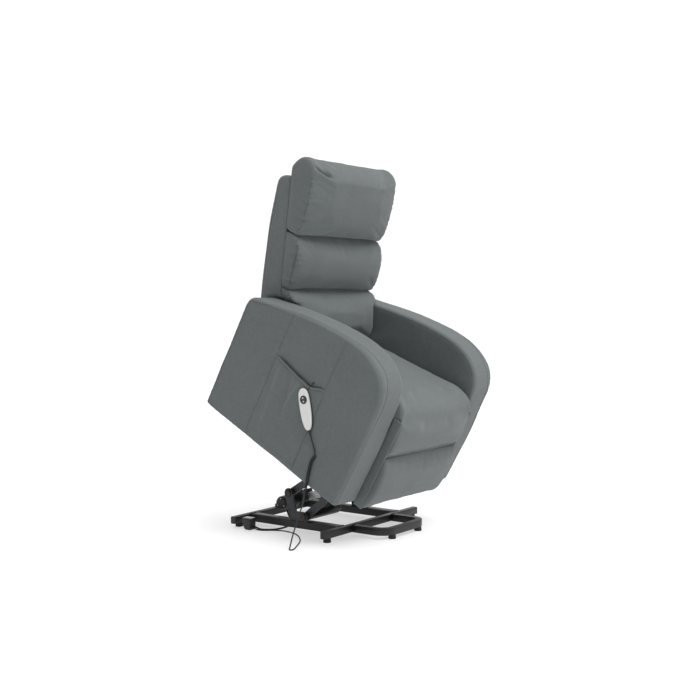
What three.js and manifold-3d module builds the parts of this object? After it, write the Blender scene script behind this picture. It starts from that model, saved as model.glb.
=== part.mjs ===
// Lift recliner chair on a steel lifting base, shown raised: the base stands on the floor and the
// whole chair is tipped forward on its lifting links. Units are millimetres, +Z is up, the sitter
// faces -Y and the sitter's right is -X. The origin is on the floor, under the middle of the chair.
import * as THREE from 'three';
import { mergeVertices } from 'three/addons/utils/BufferGeometryUtils.js';
import Module from 'manifold-3d';

const wasm = await Module();
wasm.setup();

// ---- Driving dimensions ------------------------------------------------------------------

const GAP = 0.3;                       // between pieces that touch

// Lifting motion: the chair turns about an axis along X from level to tipped forward.
const TILT = THREE.MathUtils.degToRad(28.88);
const CHAIR_ORIGIN = [-188, 162];      // y, z of the arms' lower front corner when raised
const LIFT_CENTRE = [-444.4, 270];     // y, z of the axis that the chair turns about

// Base frame
const FOOT_HEIGHT = 15;
const FOOT_RADIUS = 15;
const TUBE_HEIGHT = 27;
const TUBE_WALL = 2;
const RAIL_X = 182.3;                  // centre of each side rail
const RAIL_WIDTH = 43;
const REAR_BAR_Y = 360.5;
const REAR_BAR_HALF = 283;
const REAR_BAR_WIDTH = 24;
const CROSS_TUBE_Y = -90.2;
const CROSS_TUBE_HALF = 304;
const CROSS_TUBE_WIDTH = 24;
const LOOP_HALF = 142;                 // outer half width of the front loop
const LOOP_FRONT_Y = -256;
const LOOP_TUBE = 24;
const LOOP_CORNER = 62;

// Lifting linkage: pivots as y, z and directions from +Y towards +Z, on the raised chair
const REAR_PIVOT = [153.9, 143.6];
const REAR_LINK_ANGLE = THREE.MathUtils.degToRad(147.7);
const FRONT_PIVOT = [80.5, 60.5];
const FRONT_LINK_ANGLE = THREE.MathUtils.degToRad(141);
const LINK_WIDTH = 28;
const PLATE = 6;
const RISER_X = 196.5;                 // inner face of each riser plate
const LINK_X = 184;                    // inner face of each lifting link
const HANGER_X = 172;                  // inner face of each hanger plate
const STUD_RADIUS = 8;
const STUD_CLEARANCE = 0.6;
const PIVOT_CAP = 13.5;                // radius of the caps over the riser's pivots
const PIN_BOSS = 13;                   // radius of the bosses at the links' upper ends
const HORN_REACH = 20;                 // how far the drive tube runs past the middle
const HORN_CHEEK = [13, 18];           // inner and outer face of each of the horn's cheeks
const EAR_X = [14, 20];                // and of each of the rear bar's ears
const PIN_RADIUS = 5;                  // of the actuator's two pins

// Lift actuator
const CLEVIS_PIVOT = [335, 64];
const HORN_ANGLE = THREE.MathUtils.degToRad(55);
const HORN_LENGTH = 76;
const DRIVE_TUBE = 24;

// Chair body, in the chair's own level axes: u runs backwards and v runs up
const ARM_INNER = 246.8;
const ARM_OUTER = 383.4;
const ARM_ROUNDING = 12;
const BOX_SIDE = 20;                   // thickness of the seat box sides
const BOX_INNER = ARM_INNER - 0.4 - BOX_SIDE;
const SEAT_HALF = 243;
const DECK = [236, 250];               // underside and top of the seat deck
const LIFT_TUBE_U = [300, 540];
const LIFT_TUBE = 30;
const LIFT_TUBE_V = 115;

// Backrest
const BACK_PIVOT = [605, 232];
const BACK_HALF = 270;
const BACK_NARROW = 243;               // half width of the part between the arms
const BACK_WIDENS_V = 488;
const BACK_SLOPE = 0.411;              // u gained for each v, along the cushions' rear faces
const BACK_PLANE = [627, 476];
const STILE_X = [205, 222];
const STILE_WIDTH = 28;
const STILE_TOP = [767, 760];

// Footrest
const FOOTREST_HALF = 238;
const SCISSOR_PIVOT = [60, 221];
const SCISSOR_END = [12, 120];
const SCISSOR_LINK = 215;
const SCISSOR_WIDTH = 24;
const SCISSOR_THICK = 5;
const LONG_LINK_X = 217;
const SHORT_LINK_X = 209;
const FOOT_BRACKET_X = 201;

// Pocket, handset and cords
const POCKET_U = [226, 456];
const POCKET_V = [95, 331];
const POCKET_DEPTH = 9;
const POCKET_SKIN = 2.5;
const HOOK_AT = [268, 334.5];          // u, v of the handset's hook, inside the pocket's mouth
const HANDSET_TOP = [-69, 565.5];      // y, z of the ends of the hanging handset
const HANDSET_BOTTOM = [-96, 418.5];
const HANDSET_THICK = 16.6;
const HANDSET_SPLIT = 8;               // thickness of the rear shell
const HANDSET_HALF = 24;               // half its width at the widest place
const BUTTONS_AT = 108.6;              // height of the round pair of buttons above its lower end
const BUTTON_RADIUS = 13.6;
const BUTTON_WELL = 14.4;              // radius of the recess that the buttons sit in
const LEAD = 5;                        // diameter of the handset's lead
const COIL = 13;                       // outside diameter of the lead's curly part
const MOTOR_LEAD = 7;

// Materials
const material = (color, roughness, metalness = 0) =>
  new THREE.MeshStandardMaterial({ color, roughness, metalness });
const fabric = () => material(0x5c6363, 0.95);
const blackSteel = () => material(0x1b1c1d, 0.45, 0.6);
const greySteel = () => material(0x4a4c4e, 0.5, 0.6);
const blackPlastic = () => material(0x141516, 0.5);
const ivoryPlastic = () => material(0xe6e4dc, 0.35);
const zinc = () => material(0xa9abab, 0.35, 0.9);
const plywood = () => material(0xb08a5a, 0.8);
const rubber = () => material(0x101010, 0.8);

// ---- Geometry helpers --------------------------------------------------------------------

const X_AXIS = new THREE.Vector3(1, 0, 0);
const Y_AXIS = new THREE.Vector3(0, 1, 0);
const Z_AXIS = new THREE.Vector3(0, 0, 1);

// Turns a shape drawn on (Y, Z) and extruded along its own normal to lie along X.
const alongX = (geometry) =>
  geometry.applyMatrix4(new THREE.Matrix4().makeBasis(Y_AXIS, Z_AXIS, X_AXIS));

const polygon = (points) => new THREE.Shape(points.map(([a, b]) => new THREE.Vector2(a, b)));

const circle = (radius, [a, b] = [0, 0]) => new THREE.Shape().absarc(a, b, radius, 0, 2 * Math.PI);

// A flat plate with its outline on (Y, Z), from x0 to x1.
function plate(shape, x0, x1, segments = 12) {
  const geometry = new THREE.ExtrudeGeometry(shape, {
    depth: x1 - x0, bevelEnabled: false, curveSegments: segments,
  });
  return alongX(geometry).translate(x0, 0, 0);
}

// A padded block with its outline on (Y, Z), centred on x, whose edges are rounded by bevel.
function pad(shape, halfWidth, bevel, x = 0) {
  const geometry = new THREE.ExtrudeGeometry(shape, {
    depth: 2 * (halfWidth - bevel), bevelThickness: bevel, bevelSize: bevel,
    bevelOffset: -bevel, bevelSegments: 3, curveSegments: 8,
  });
  return alongX(geometry).translate(x - halfWidth + bevel, 0, 0);
}

const block = (size, centre) => new THREE.BoxGeometry(...size).translate(...centre);

// A round bar along X from x0 to x1, centred on y, z.
const bar = (radius, x0, x1, [y, z], sides = 24) =>
  new THREE.CylinderGeometry(radius, radius, x1 - x0, sides)
    .rotateZ(-Math.PI / 2).translate((x0 + x1) / 2, y, z);

// A rectangular steel tube, width by height outside, along X or along Y.
function boxTube(width, height, length) {
  const shape = polygon([[-width / 2, -height / 2], [width / 2, -height / 2],
    [width / 2, height / 2], [-width / 2, height / 2]]);
  const [a, b] = [width / 2 - TUBE_WALL, height / 2 - TUBE_WALL];
  shape.holes.push(new THREE.Path([[-a, -b], [-a, b], [a, b], [a, -b]]
    .map(([p, q]) => new THREE.Vector2(p, q))));
  return alongX(new THREE.ExtrudeGeometry(shape, { depth: length, bevelEnabled: false }))
    .translate(-length / 2, 0, 0);
}

// A flat link between two pivots, with round ends and a hole at each listed pivot.
function linkShape([y0, z0], [y1, z1], width, holes = []) {
  const angle = Math.atan2(z1 - z0, y1 - y0);
  const r = width / 2;
  const shape = new THREE.Shape();
  shape.absarc(y1, z1, r, angle - Math.PI / 2, angle + Math.PI / 2);
  shape.absarc(y0, z0, r, angle + Math.PI / 2, angle + 1.5 * Math.PI);
  for (const hole of holes) {
    shape.holes.push(circle(STUD_RADIUS + STUD_CLEARANCE, hole));
  }
  return shape;
}

// A plain cord: a round section swept through the points.
function cord(points, diameter, sides, steps) {
  const path = new THREE.CatmullRomCurve3(points.map((p) => new THREE.Vector3(...p)));
  const section = new THREE.Shape();
  for (let i = 0; i < sides; i += 1) {
    const angle = (2 * Math.PI * i) / sides;
    const method = i === 0 ? 'moveTo' : 'lineTo';
    section[method](Math.cos(angle) * diameter / 2, Math.sin(angle) * diameter / 2);
  }
  section.closePath();
  return new THREE.ExtrudeGeometry(section, { steps, extrudePath: path, bevelEnabled: false });
}

// manifold-3d joins and cuts
function solid(geometry) {
  const bare = geometry.index ? geometry.clone() : geometry;
  bare.deleteAttribute('normal');
  bare.deleteAttribute('uv');
  const merged = mergeVertices(bare, 1e-4);
  return new wasm.Manifold(new wasm.Mesh({
    numProp: 3,
    vertProperties: new Float32Array(merged.attributes.position.array),
    triVerts: new Uint32Array(merged.index.array),
  }));
}

function geometryOf(manifold) {
  const mesh = manifold.getMesh();
  const geometry = new THREE.BufferGeometry();
  geometry.setAttribute('position', new THREE.BufferAttribute(mesh.vertProperties, 3));
  geometry.setIndex(new THREE.BufferAttribute(mesh.triVerts, 1));
  geometry.computeVertexNormals();
  return geometry;
}

const join = (...parts) => geometryOf(parts.map(solid).reduce((a, b) => a.add(b)));
const cut = (body, ...tools) =>
  geometryOf(tools.map(solid).reduce((a, b) => a.subtract(b), solid(body)));

// Puts a named piece into a group.
function piece(group, name, geometry, finish) {
  const mesh = new THREE.Mesh(geometry, finish);
  mesh.name = name;
  group.add(mesh);
  return mesh;
}

// The chair's right side is -X. Each pair of side pieces is built on +X and mirrored.
const SIDES = [['right', -1], ['left', 1]];
const span = (side, near, far) => (side > 0 ? [near, far] : [-far, -near]);

// ---- Plane geometry of the linkages ------------------------------------------------------

const turn = ([a, b], angle) => [
  a * Math.cos(angle) - b * Math.sin(angle),
  a * Math.sin(angle) + b * Math.cos(angle),
];
const minus = ([a, b], [c, d]) => [a - c, b - d];
const plus = ([a, b], [c, d]) => [a + c, b + d];
const cross = ([a, b], [c, d]) => a * d - b * c;
const toChair = (point) => turn(minus(point, CHAIR_ORIGIN), -TILT);

// The upper pin of a lifting link. The pin meets the link at both ends of the lift where the
// link's lower pivot lies on the line that halves the pin's turn about the lift centre.
function upperPin(pivot, angle) {
  const arm = minus(pivot, LIFT_CENTRE);
  const direction = [Math.cos(angle), Math.sin(angle)];
  const start = cross(arm, turn(arm, -TILT / 2));
  const perLength = cross(arm, turn(direction, -TILT / 2));
  const length = -start / perLength;
  return plus(pivot, [direction[0] * length, direction[1] * length]);
}

const REAR_PIN = upperPin(REAR_PIVOT, REAR_LINK_ANGLE);
const FRONT_PIN = upperPin(FRONT_PIVOT, FRONT_LINK_ANGLE);
const HORN_PIN = plus(FRONT_PIVOT,
  [HORN_LENGTH * Math.cos(HORN_ANGLE), HORN_LENGTH * Math.sin(HORN_ANGLE)]);

// The middle pivot of the footrest's scissor, from its two ends.
function scissorMiddle(start, end) {
  const [du, dv] = minus(end, start);
  const reach = Math.hypot(du, dv);
  const height = Math.sqrt(SCISSOR_LINK ** 2 - (reach / 2) ** 2);
  return [
    start[0] + du / 2 - (dv / reach) * height,
    start[1] + dv / 2 + (du / reach) * height,
  ];
}

const SCISSOR_MIDDLE = scissorMiddle(SCISSOR_PIVOT, SCISSOR_END);

// ---- Base frame --------------------------------------------------------------------------

const TUBE_Z = FOOT_HEIGHT + TUBE_HEIGHT / 2;
const BASE_TOP = FOOT_HEIGHT + TUBE_HEIGHT;

function baseFrame() {
  const group = new THREE.Group();
  const railFront = CROSS_TUBE_Y + CROSS_TUBE_WIDTH / 2 + GAP;
  const railRear = REAR_BAR_Y - REAR_BAR_WIDTH / 2 - GAP;
  for (const [label, side] of SIDES) {
    const rail = boxTube(RAIL_WIDTH, TUBE_HEIGHT, railRear - railFront).rotateZ(Math.PI / 2);
    rail.translate(side * RAIL_X, (railFront + railRear) / 2, TUBE_Z);
    piece(group, `rail_${label}`, rail, blackSteel());
  }
  piece(group, 'front_cross_tube',
    boxTube(CROSS_TUBE_WIDTH, TUBE_HEIGHT, 2 * CROSS_TUBE_HALF).translate(0, CROSS_TUBE_Y, TUBE_Z),
    blackSteel());
  piece(group, 'front_loop', frontLoop(), blackSteel());
  piece(group, 'rear_cross_bar', rearCrossBar(), blackSteel());

  const footPlaces = [['cross', 281, CROSS_TUBE_Y], ['loop', 88, LOOP_FRONT_Y + LOOP_TUBE / 2],
    ['rear', 250, REAR_BAR_Y]];
  for (const [place, x, y] of footPlaces) {
    for (const [label, side] of SIDES) {
      const foot = new THREE.CylinderGeometry(FOOT_RADIUS - 2, FOOT_RADIUS, FOOT_HEIGHT - GAP, 20);
      foot.rotateX(Math.PI / 2).translate(side * x, y, (FOOT_HEIGHT - GAP) / 2);
      piece(group, `foot_${place}_${label}`, foot, rubber());
    }
  }
  for (const [label, side] of SIDES) {
    piece(group, `riser_${label}`, riser(side), greySteel());
  }
  return group;
}

// The bent tube in front of the cross tube, with rounded front corners.
function frontLoop() {
  const rear = CROSS_TUBE_Y - CROSS_TUBE_WIDTH / 2 - GAP;
  const inner = LOOP_HALF - LOOP_TUBE;
  const innerCorner = LOOP_CORNER - LOOP_TUBE;
  const innerFront = LOOP_FRONT_Y + LOOP_TUBE;
  const shape = new THREE.Shape();
  shape.moveTo(-LOOP_HALF, rear);
  shape.lineTo(-LOOP_HALF, LOOP_FRONT_Y + LOOP_CORNER);
  shape.absarc(-LOOP_HALF + LOOP_CORNER, LOOP_FRONT_Y + LOOP_CORNER, LOOP_CORNER,
    Math.PI, 1.5 * Math.PI);
  shape.absarc(LOOP_HALF - LOOP_CORNER, LOOP_FRONT_Y + LOOP_CORNER, LOOP_CORNER,
    1.5 * Math.PI, 2 * Math.PI);
  shape.lineTo(LOOP_HALF, rear);
  shape.lineTo(inner, rear);
  shape.absarc(inner - innerCorner, innerFront + innerCorner, innerCorner,
    2 * Math.PI, 1.5 * Math.PI, true);
  shape.absarc(-inner + innerCorner, innerFront + innerCorner, innerCorner,
    1.5 * Math.PI, Math.PI, true);
  shape.lineTo(-inner, rear);
  return new THREE.ExtrudeGeometry(shape, {
    depth: TUBE_HEIGHT, bevelEnabled: false, curveSegments: 6,
  }).translate(0, 0, FOOT_HEIGHT);
}

// The rear bar carries the two ears and the pin that hold the actuator's tail.
function rearCrossBar() {
  const tube = boxTube(REAR_BAR_WIDTH, TUBE_HEIGHT, 2 * REAR_BAR_HALF)
    .translate(0, REAR_BAR_Y, TUBE_Z);
  const rear = REAR_BAR_Y + REAR_BAR_WIDTH / 2;
  const earShape = polygon([[rear, BASE_TOP - 1], [rear, BASE_TOP + 8],
    [CLEVIS_PIVOT[0] + 6, CLEVIS_PIVOT[1] + 13], [CLEVIS_PIVOT[0] - 12, CLEVIS_PIVOT[1] + 10],
    [CLEVIS_PIVOT[0] - 12, CLEVIS_PIVOT[1] - 8], [REAR_BAR_Y - REAR_BAR_WIDTH / 2, BASE_TOP - 1]]);
  const ears = [-1, 1].map((side) => plate(earShape, ...span(side, ...EAR_X)));
  return join(tube, ...ears, bar(PIN_RADIUS, -EAR_X[1], EAR_X[1], CLEVIS_PIVOT, 16));
}

// A riser plate on a side rail, with the two studs that the lifting links turn on.
function riser(side) {
  const foot = BASE_TOP + GAP;
  const [frontRadius, rearRadius] = [18, 19];
  const [frontY, frontZ] = FRONT_PIVOT;
  const [rearY, rearZ] = REAR_PIVOT;
  const shape = new THREE.Shape();
  shape.moveTo(rearY - rearRadius / 2, foot);
  shape.lineTo(frontY - frontRadius, foot);
  shape.absarc(frontY, frontZ, frontRadius, Math.PI, Math.PI / 2, true);
  shape.lineTo(rearY - 2 * rearRadius, frontZ + frontRadius);
  shape.lineTo(rearY - rearRadius, rearZ);
  shape.absarc(rearY, rearZ, rearRadius, Math.PI, 0, true);
  const face = plate(shape, ...span(side, RISER_X, RISER_X + PLATE));
  const studs = [REAR_PIVOT, FRONT_PIVOT].map((pivot) =>
    bar(STUD_RADIUS, ...span(side, LINK_X - 3, RISER_X + 1), pivot));
  const caps = [REAR_PIVOT, FRONT_PIVOT].map((pivot) =>
    bar(PIVOT_CAP, ...span(side, RISER_X + 1, RISER_X + PLATE + 7), pivot));
  return join(face, ...studs, ...caps);
}

// ---- Lifting links and actuator ----------------------------------------------------------

function liftingLinks() {
  const group = new THREE.Group();
  for (const [label, side] of SIDES) {
    const ends = [['rear', REAR_PIVOT, REAR_PIN], ['front', FRONT_PIVOT, FRONT_PIN]];
    for (const [place, pivot, pin] of ends) {
      const shape = linkShape(pivot, pin, LINK_WIDTH, [pivot]);
      const flat = plate(shape, ...span(side, LINK_X, LINK_X + PLATE));
      const boss = bar(PIN_BOSS, ...span(side, LINK_X + PLATE - 1, LINK_X + PLATE + 6), pin);
      piece(group, `${place}_link_${label}`, join(flat, boss), greySteel());
    }
  }
  piece(group, 'drive_tube', driveTube(), blackSteel());
  return group;
}

// The tube that turns with the right front link, with the forked horn that the actuator drives.
function driveTube() {
  const end = LINK_X - GAP;
  const tube = boxTube(DRIVE_TUBE, DRIVE_TUBE, end + HORN_REACH)
    .translate((HORN_REACH - end) / 2, 0, 0)
    .rotateX(FRONT_LINK_ANGLE)
    .translate(0, ...FRONT_PIVOT);
  const hornShape = linkShape(FRONT_PIVOT, HORN_PIN, DRIVE_TUBE);
  const cheeks = [-1, 1].map((side) => plate(hornShape, ...span(side, ...HORN_CHEEK)));
  const half = HORN_CHEEK[1] - 1;
  return join(tube, ...cheeks, bar(PIN_RADIUS, -half, half, HORN_PIN, 16));
}

// The actuator lies along its own +Y axis, from the clevis pin to the horn pin.
function actuator() {
  const group = new THREE.Group();
  const [dy, dz] = minus(HORN_PIN, CLEVIS_PIVOT);
  const reach = Math.hypot(dy, dz);
  group.position.set(0, ...CLEVIS_PIVOT);
  group.rotation.x = Math.atan2(dz, dy);

  // The gearbox runs from `rear` to `front` along the axis, and its tail goes back past the pin.
  const [rear, front, halfWidth, height, drop] = [46, 132, 26, 48, 6];
  const tailWidth = 24;
  const tail = cut(
    block([tailWidth, rear + 2 * drop, tailWidth], [0, rear / 2 - drop, 0]),
    bar(PIN_RADIUS + STUD_CLEARANCE, -tailWidth, tailWidth, [0, 0], 16));
  const body = block([2 * halfWidth, front - rear, height], [0, (front + rear) / 2, -drop]);
  piece(group, 'actuator_gearbox', join(tail, body), blackPlastic());

  // The motor stands on the gearbox's right face, near its tail and a little below its middle.
  const [motorRadius, motorLength, motorAlong, motorDrop] = [27, 92, 74, 4];
  const motor = new THREE.LatheGeometry([
    [0, 0], [motorRadius, 0], [motorRadius, motorLength - 8], [motorRadius - 4, motorLength - 2],
    [0, motorLength]].map(([r, h]) => new THREE.Vector2(r, h)), 24);
  motor.rotateZ(Math.PI / 2).translate(-halfWidth - GAP, motorAlong, motorDrop);
  piece(group, 'actuator_motor', motor, blackPlastic());

  const [railSize, railLength] = [30, 62];
  const rail = boxTube(railSize, railSize, railLength).rotateZ(Math.PI / 2)
    .translate(0, front + GAP + railLength / 2, 0);
  piece(group, 'actuator_rail', rail, zinc());

  // The rod's eye is wide on the horn's pin, because the linkage is a little out of true between
  // the ends of its travel.
  const [rodRadius, eyeRadius, eyeBore, eyeHalf] = [8, 17, 11, 9];
  const rod = bar(rodRadius, 0, reach - front - 6, [0, 0], 16).rotateZ(Math.PI / 2)
    .translate(0, front + 4, 0);
  const eye = bar(eyeRadius, -eyeHalf, eyeHalf, [reach, 0]);
  const bore = bar(eyeBore, -eyeHalf - 3, eyeHalf + 3, [reach, 0]);
  piece(group, 'actuator_rod', cut(join(rod, eye), bore), zinc());
  return group;
}

// ---- Chair frame and seat ----------------------------------------------------------------

function chairFrame() {
  const group = new THREE.Group();
  for (const [label, side] of SIDES) {
    piece(group, `seat_box_side_${label}`, seatBoxSide(side), plywood());
    piece(group, `hanger_${label}`, hanger(side), greySteel());
  }
  const tubeNames = ['lift_tube_front', 'lift_tube_rear'];
  tubeNames.forEach((name, i) => {
    const tube = boxTube(LIFT_TUBE, LIFT_TUBE, 2 * (BOX_INNER - GAP))
      .translate(0, LIFT_TUBE_U[i], LIFT_TUBE_V);
    piece(group, name, tube, blackSteel());
  });
  const deckRear = 525;
  piece(group, 'seat_deck', block([2 * (BOX_INNER - GAP), deckRear - 12, DECK[1] - DECK[0]],
    [0, (deckRear + 12) / 2, (DECK[0] + DECK[1]) / 2]), plywood());

  const seat = new THREE.Shape();
  seat.moveTo(530, DECK[1] + GAP);
  seat.lineTo(530, 345);
  seat.bezierCurveTo(400, 382, 230, 392, 60, 414);
  seat.bezierCurveTo(0, 422, -44, 404, -46, 352);
  seat.lineTo(-6, 352);
  seat.lineTo(-6, DECK[1] + GAP);
  piece(group, 'seat_cushion', pad(seat, SEAT_HALF, 14), fabric());
  return group;
}

// A seat box side carries the backrest's pivot stud and the scissor's pivot stud.
function seatBoxSide(side) {
  const shape = polygon([[0, 20], [560, 20], [632, 200], [632, 250], [0, 250]]);
  const panel = plate(shape, ...span(side, BOX_INNER, BOX_INNER + BOX_SIDE));
  const backStud = bar(STUD_RADIUS, ...span(side, STILE_X[0] - 4, BOX_INNER + 1), BACK_PIVOT);
  const scissorStud = bar(STUD_RADIUS, ...span(side, LONG_LINK_X - 2, BOX_INNER + 1),
    SCISSOR_PIVOT);
  return join(panel, backStud, scissorStud);
}

// A hanger plate under the front lift tube, with a stub that faces each lifting link's end.
function hanger(side) {
  const [rearPin, frontPin] = [toChair(REAR_PIN), toChair(FRONT_PIN)];
  const top = LIFT_TUBE_V - LIFT_TUBE / 2 - GAP;
  const shape = polygon([[frontPin[0] - 26, frontPin[1] + 20], [frontPin[0] - 20, frontPin[1] - 16],
    [frontPin[0] + 12, frontPin[1] - 22], [rearPin[0] + 20, rearPin[1] - 22],
    [LIFT_TUBE_U[0] + 14, top - 18], [LIFT_TUBE_U[0] + 14, top], [LIFT_TUBE_U[0] - 14, top],
    [rearPin[0], top - 6]]);
  const face = plate(shape, ...span(side, HANGER_X, HANGER_X + PLATE));
  const stubs = [rearPin, frontPin].map((pin) =>
    bar(STUD_RADIUS, ...span(side, HANGER_X + 1, LINK_X - GAP), pin));
  return join(face, ...stubs);
}

// ---- Arms, pocket and handset ------------------------------------------------------------

function armShape() {
  const shape = new THREE.Shape();
  shape.moveTo(-8, 0);
  shape.lineTo(678, 0);
  shape.lineTo(678, 421);
  shape.quadraticCurveTo(678, 455, 650, 462);
  shape.bezierCurveTo(500, 506, 330, 544, 200, 544);
  shape.bezierCurveTo(110, 544, 6, 512, -3, 400);
  shape.lineTo(-11, 214);
  return shape;
}

function arms() {
  const group = new THREE.Group();
  const half = (ARM_OUTER - ARM_INNER) / 2;
  const [front, rear] = POCKET_U;
  const [foot, top] = POCKET_V;
  const recessTop = top + 25;
  const recess = block([2 * POCKET_DEPTH, rear - front, recessTop - foot],
    [-ARM_OUTER, (front + rear) / 2, (foot + recessTop) / 2]);
  for (const [label, side] of SIDES) {
    const body = pad(armShape(), half, ARM_ROUNDING, side * (ARM_INNER + half));
    piece(group, `arm_${label}`, side < 0 ? cut(body, recess) : body, fabric());
  }
  const sag = 31;
  const mouth = new THREE.Shape();
  mouth.moveTo(front + GAP, foot + GAP);
  mouth.lineTo(rear - GAP, foot + GAP);
  mouth.lineTo(rear - GAP, top + 4);
  mouth.quadraticCurveTo((front + rear) / 2 - 11, top - sag, front + GAP, top);
  piece(group, 'side_pocket', plate(mouth, -ARM_OUTER, -ARM_OUTER + POCKET_SKIN, 6), fabric());
  return group;
}

// The handset hangs plumb outside the right arm. Its own axes are Y across and Z along it.
function handset() {
  const group = new THREE.Group();
  const [dy, dz] = minus(HANDSET_TOP, HANDSET_BOTTOM);
  const length = Math.hypot(dy, dz);
  group.position.set(-ARM_OUTER - GAP, ...HANDSET_BOTTOM);
  group.rotation.x = Math.atan2(dz, dy) - Math.PI / 2;
  const [tip, wide, shoulder] = [5, HANDSET_HALF, length - 28];
  const outline = new THREE.Shape();
  outline.moveTo(-tip, 0);
  outline.bezierCurveTo(-15, 5, -20, 26, 2 - wide, 50);
  outline.bezierCurveTo(-wide, 76, -wide, 100, 2 - wide, shoulder);
  outline.bezierCurveTo(-19, length - 6, -9, length, 0, length);
  outline.bezierCurveTo(9, length, 19, length - 6, wide - 2, shoulder);
  outline.bezierCurveTo(wide, 100, wide, 76, wide - 2, 50);
  outline.bezierCurveTo(20, 26, 15, 5, tip, 0);
  piece(group, 'handset_back', plate(outline, -HANDSET_SPLIT, 0, 5), blackPlastic());

  const front = plate(outline, -HANDSET_THICK, -HANDSET_SPLIT - GAP, 5);
  const wellFloor = -HANDSET_SPLIT - 4;
  const well = bar(BUTTON_WELL, -HANDSET_THICK - 1, wellFloor, [0, BUTTONS_AT], 32);
  piece(group, 'handset_front', cut(front, well), ivoryPlastic());
  const split = 0.03;                  // half angle left free between the two buttons
  for (const [label, start] of [['up', 0], ['down', Math.PI]]) {
    const half = new THREE.Shape();
    half.absarc(0, 0, BUTTON_RADIUS, start + split, start + Math.PI - split);
    const button = plate(half, -HANDSET_THICK + 0.4, wellFloor - 1.6, 8)
      .translate(0, 0, BUTTONS_AT);
    piece(group, `button_${label}`, button, blackPlastic());
  }
  return group;
}

// The hook on the handset's back, over the corner of the pocket's mouth.
const hook = () => block([6, 14, 22], [-ARM_OUTER + POCKET_DEPTH - 4, ...HOOK_AT]);

// ---- Backrest ----------------------------------------------------------------------------

const backPlane = (v) => BACK_PLANE[0] + BACK_SLOPE * (v - BACK_PLANE[1]);

function shellOutline(inset) {
  const [bottom, top] = [275, 889];
  const shape = new THREE.Shape();
  shape.moveTo(backPlane(bottom) + 1, bottom);
  shape.lineTo(653 - inset, bottom);
  shape.lineTo(718 - inset, 432);
  shape.bezierCurveTo(779 - inset, 580, 826 - inset, 737, 850 - inset, 842 - inset);
  shape.bezierCurveTo(854 - inset, 872 - inset, 830, top - 5 - inset,
    backPlane(top) + 1 + inset / 2, top - inset);
  return shape;
}

function backrest() {
  const group = new THREE.Group();
  piece(group, 'back_shell', backShell(), fabric());
  for (const [label, side] of SIDES) {
    const stile = linkShape(BACK_PIVOT, STILE_TOP, STILE_WIDTH, [BACK_PIVOT]);
    piece(group, `back_stile_${label}`, plate(stile, ...span(side, ...STILE_X)), plywood());
  }
  const railHalf = STILE_X[0] - GAP;
  for (const [name, v] of [['back_rail_bottom', 320], ['back_rail_top', 745]]) {
    const t = (v - BACK_PIVOT[1]) / (STILE_TOP[1] - BACK_PIVOT[1]);
    const u = BACK_PIVOT[0] + t * (STILE_TOP[0] - BACK_PIVOT[0]);
    piece(group, name, block([2 * railHalf, 20, 30], [0, u, v]), plywood());
  }

  const lower = new THREE.Shape();
  lower.moveTo(backPlane(358) - 0.5, 358);
  lower.lineTo(backPlane(510) - 0.5, 510);
  lower.lineTo(604, 514);
  lower.bezierCurveTo(568, 512, 540, 478, 524, 440);
  lower.bezierCurveTo(508, 410, 498, 384, 499, 362);
  piece(group, 'back_cushion_lower', plate(lower, -BACK_NARROW, BACK_NARROW, 6), fabric());

  const middle = new THREE.Shape();
  middle.moveTo(backPlane(516) - 0.5, 516);
  middle.lineTo(backPlane(708) - 0.5, 708);
  middle.lineTo(674, 710);
  middle.bezierCurveTo(630, 700, 614, 640, 606, 590);
  middle.bezierCurveTo(600, 552, 600, 526, 612, 518);
  piece(group, 'back_cushion_middle', plate(middle, -BACK_HALF, BACK_HALF, 6), fabric());

  const head = new THREE.Shape();
  head.moveTo(backPlane(716) - 0.5, 716);
  head.lineTo(backPlane(930) - 0.5, 930);
  head.bezierCurveTo(812, 960, 800, 984, 776, 988);
  head.bezierCurveTo(730, 990, 708, 970, 699, 941);
  head.bezierCurveTo(680, 880, 664, 830, 657, 780);
  head.bezierCurveTo(653, 748, 656, 726, 672, 717);
  piece(group, 'back_cushion_head', plate(head, -BACK_HALF, BACK_HALF, 6), fabric());
  return group;
}

// The upholstered back is a tray, open to the front and at the bottom, narrower between the arms.
function backShell() {
  const outer = pad(shellOutline(0), BACK_HALF, 10);
  const wall = 16;
  const cavity = plate(shellOutline(wall), -BACK_NARROW + wall, BACK_NARROW - wall, 8)
    .translate(0, -1, 0);
  const frontClear = plate(polygon([[backPlane(240) - 40, 240], [backPlane(240) + 92, 240],
    [backPlane(300) + 80, 300], [backPlane(860) + 20, 860], [backPlane(860) - 60, 860]]),
  -BACK_NARROW + wall, BACK_NARROW - wall);
  const armClear = [-1, 1].map((side) => block([60, 400, 400],
    [side * (BACK_NARROW + 30), 700, BACK_WIDENS_V - 200]));
  return cut(outer, cavity, frontClear, ...armClear);
}

// ---- Footrest ----------------------------------------------------------------------------

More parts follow.
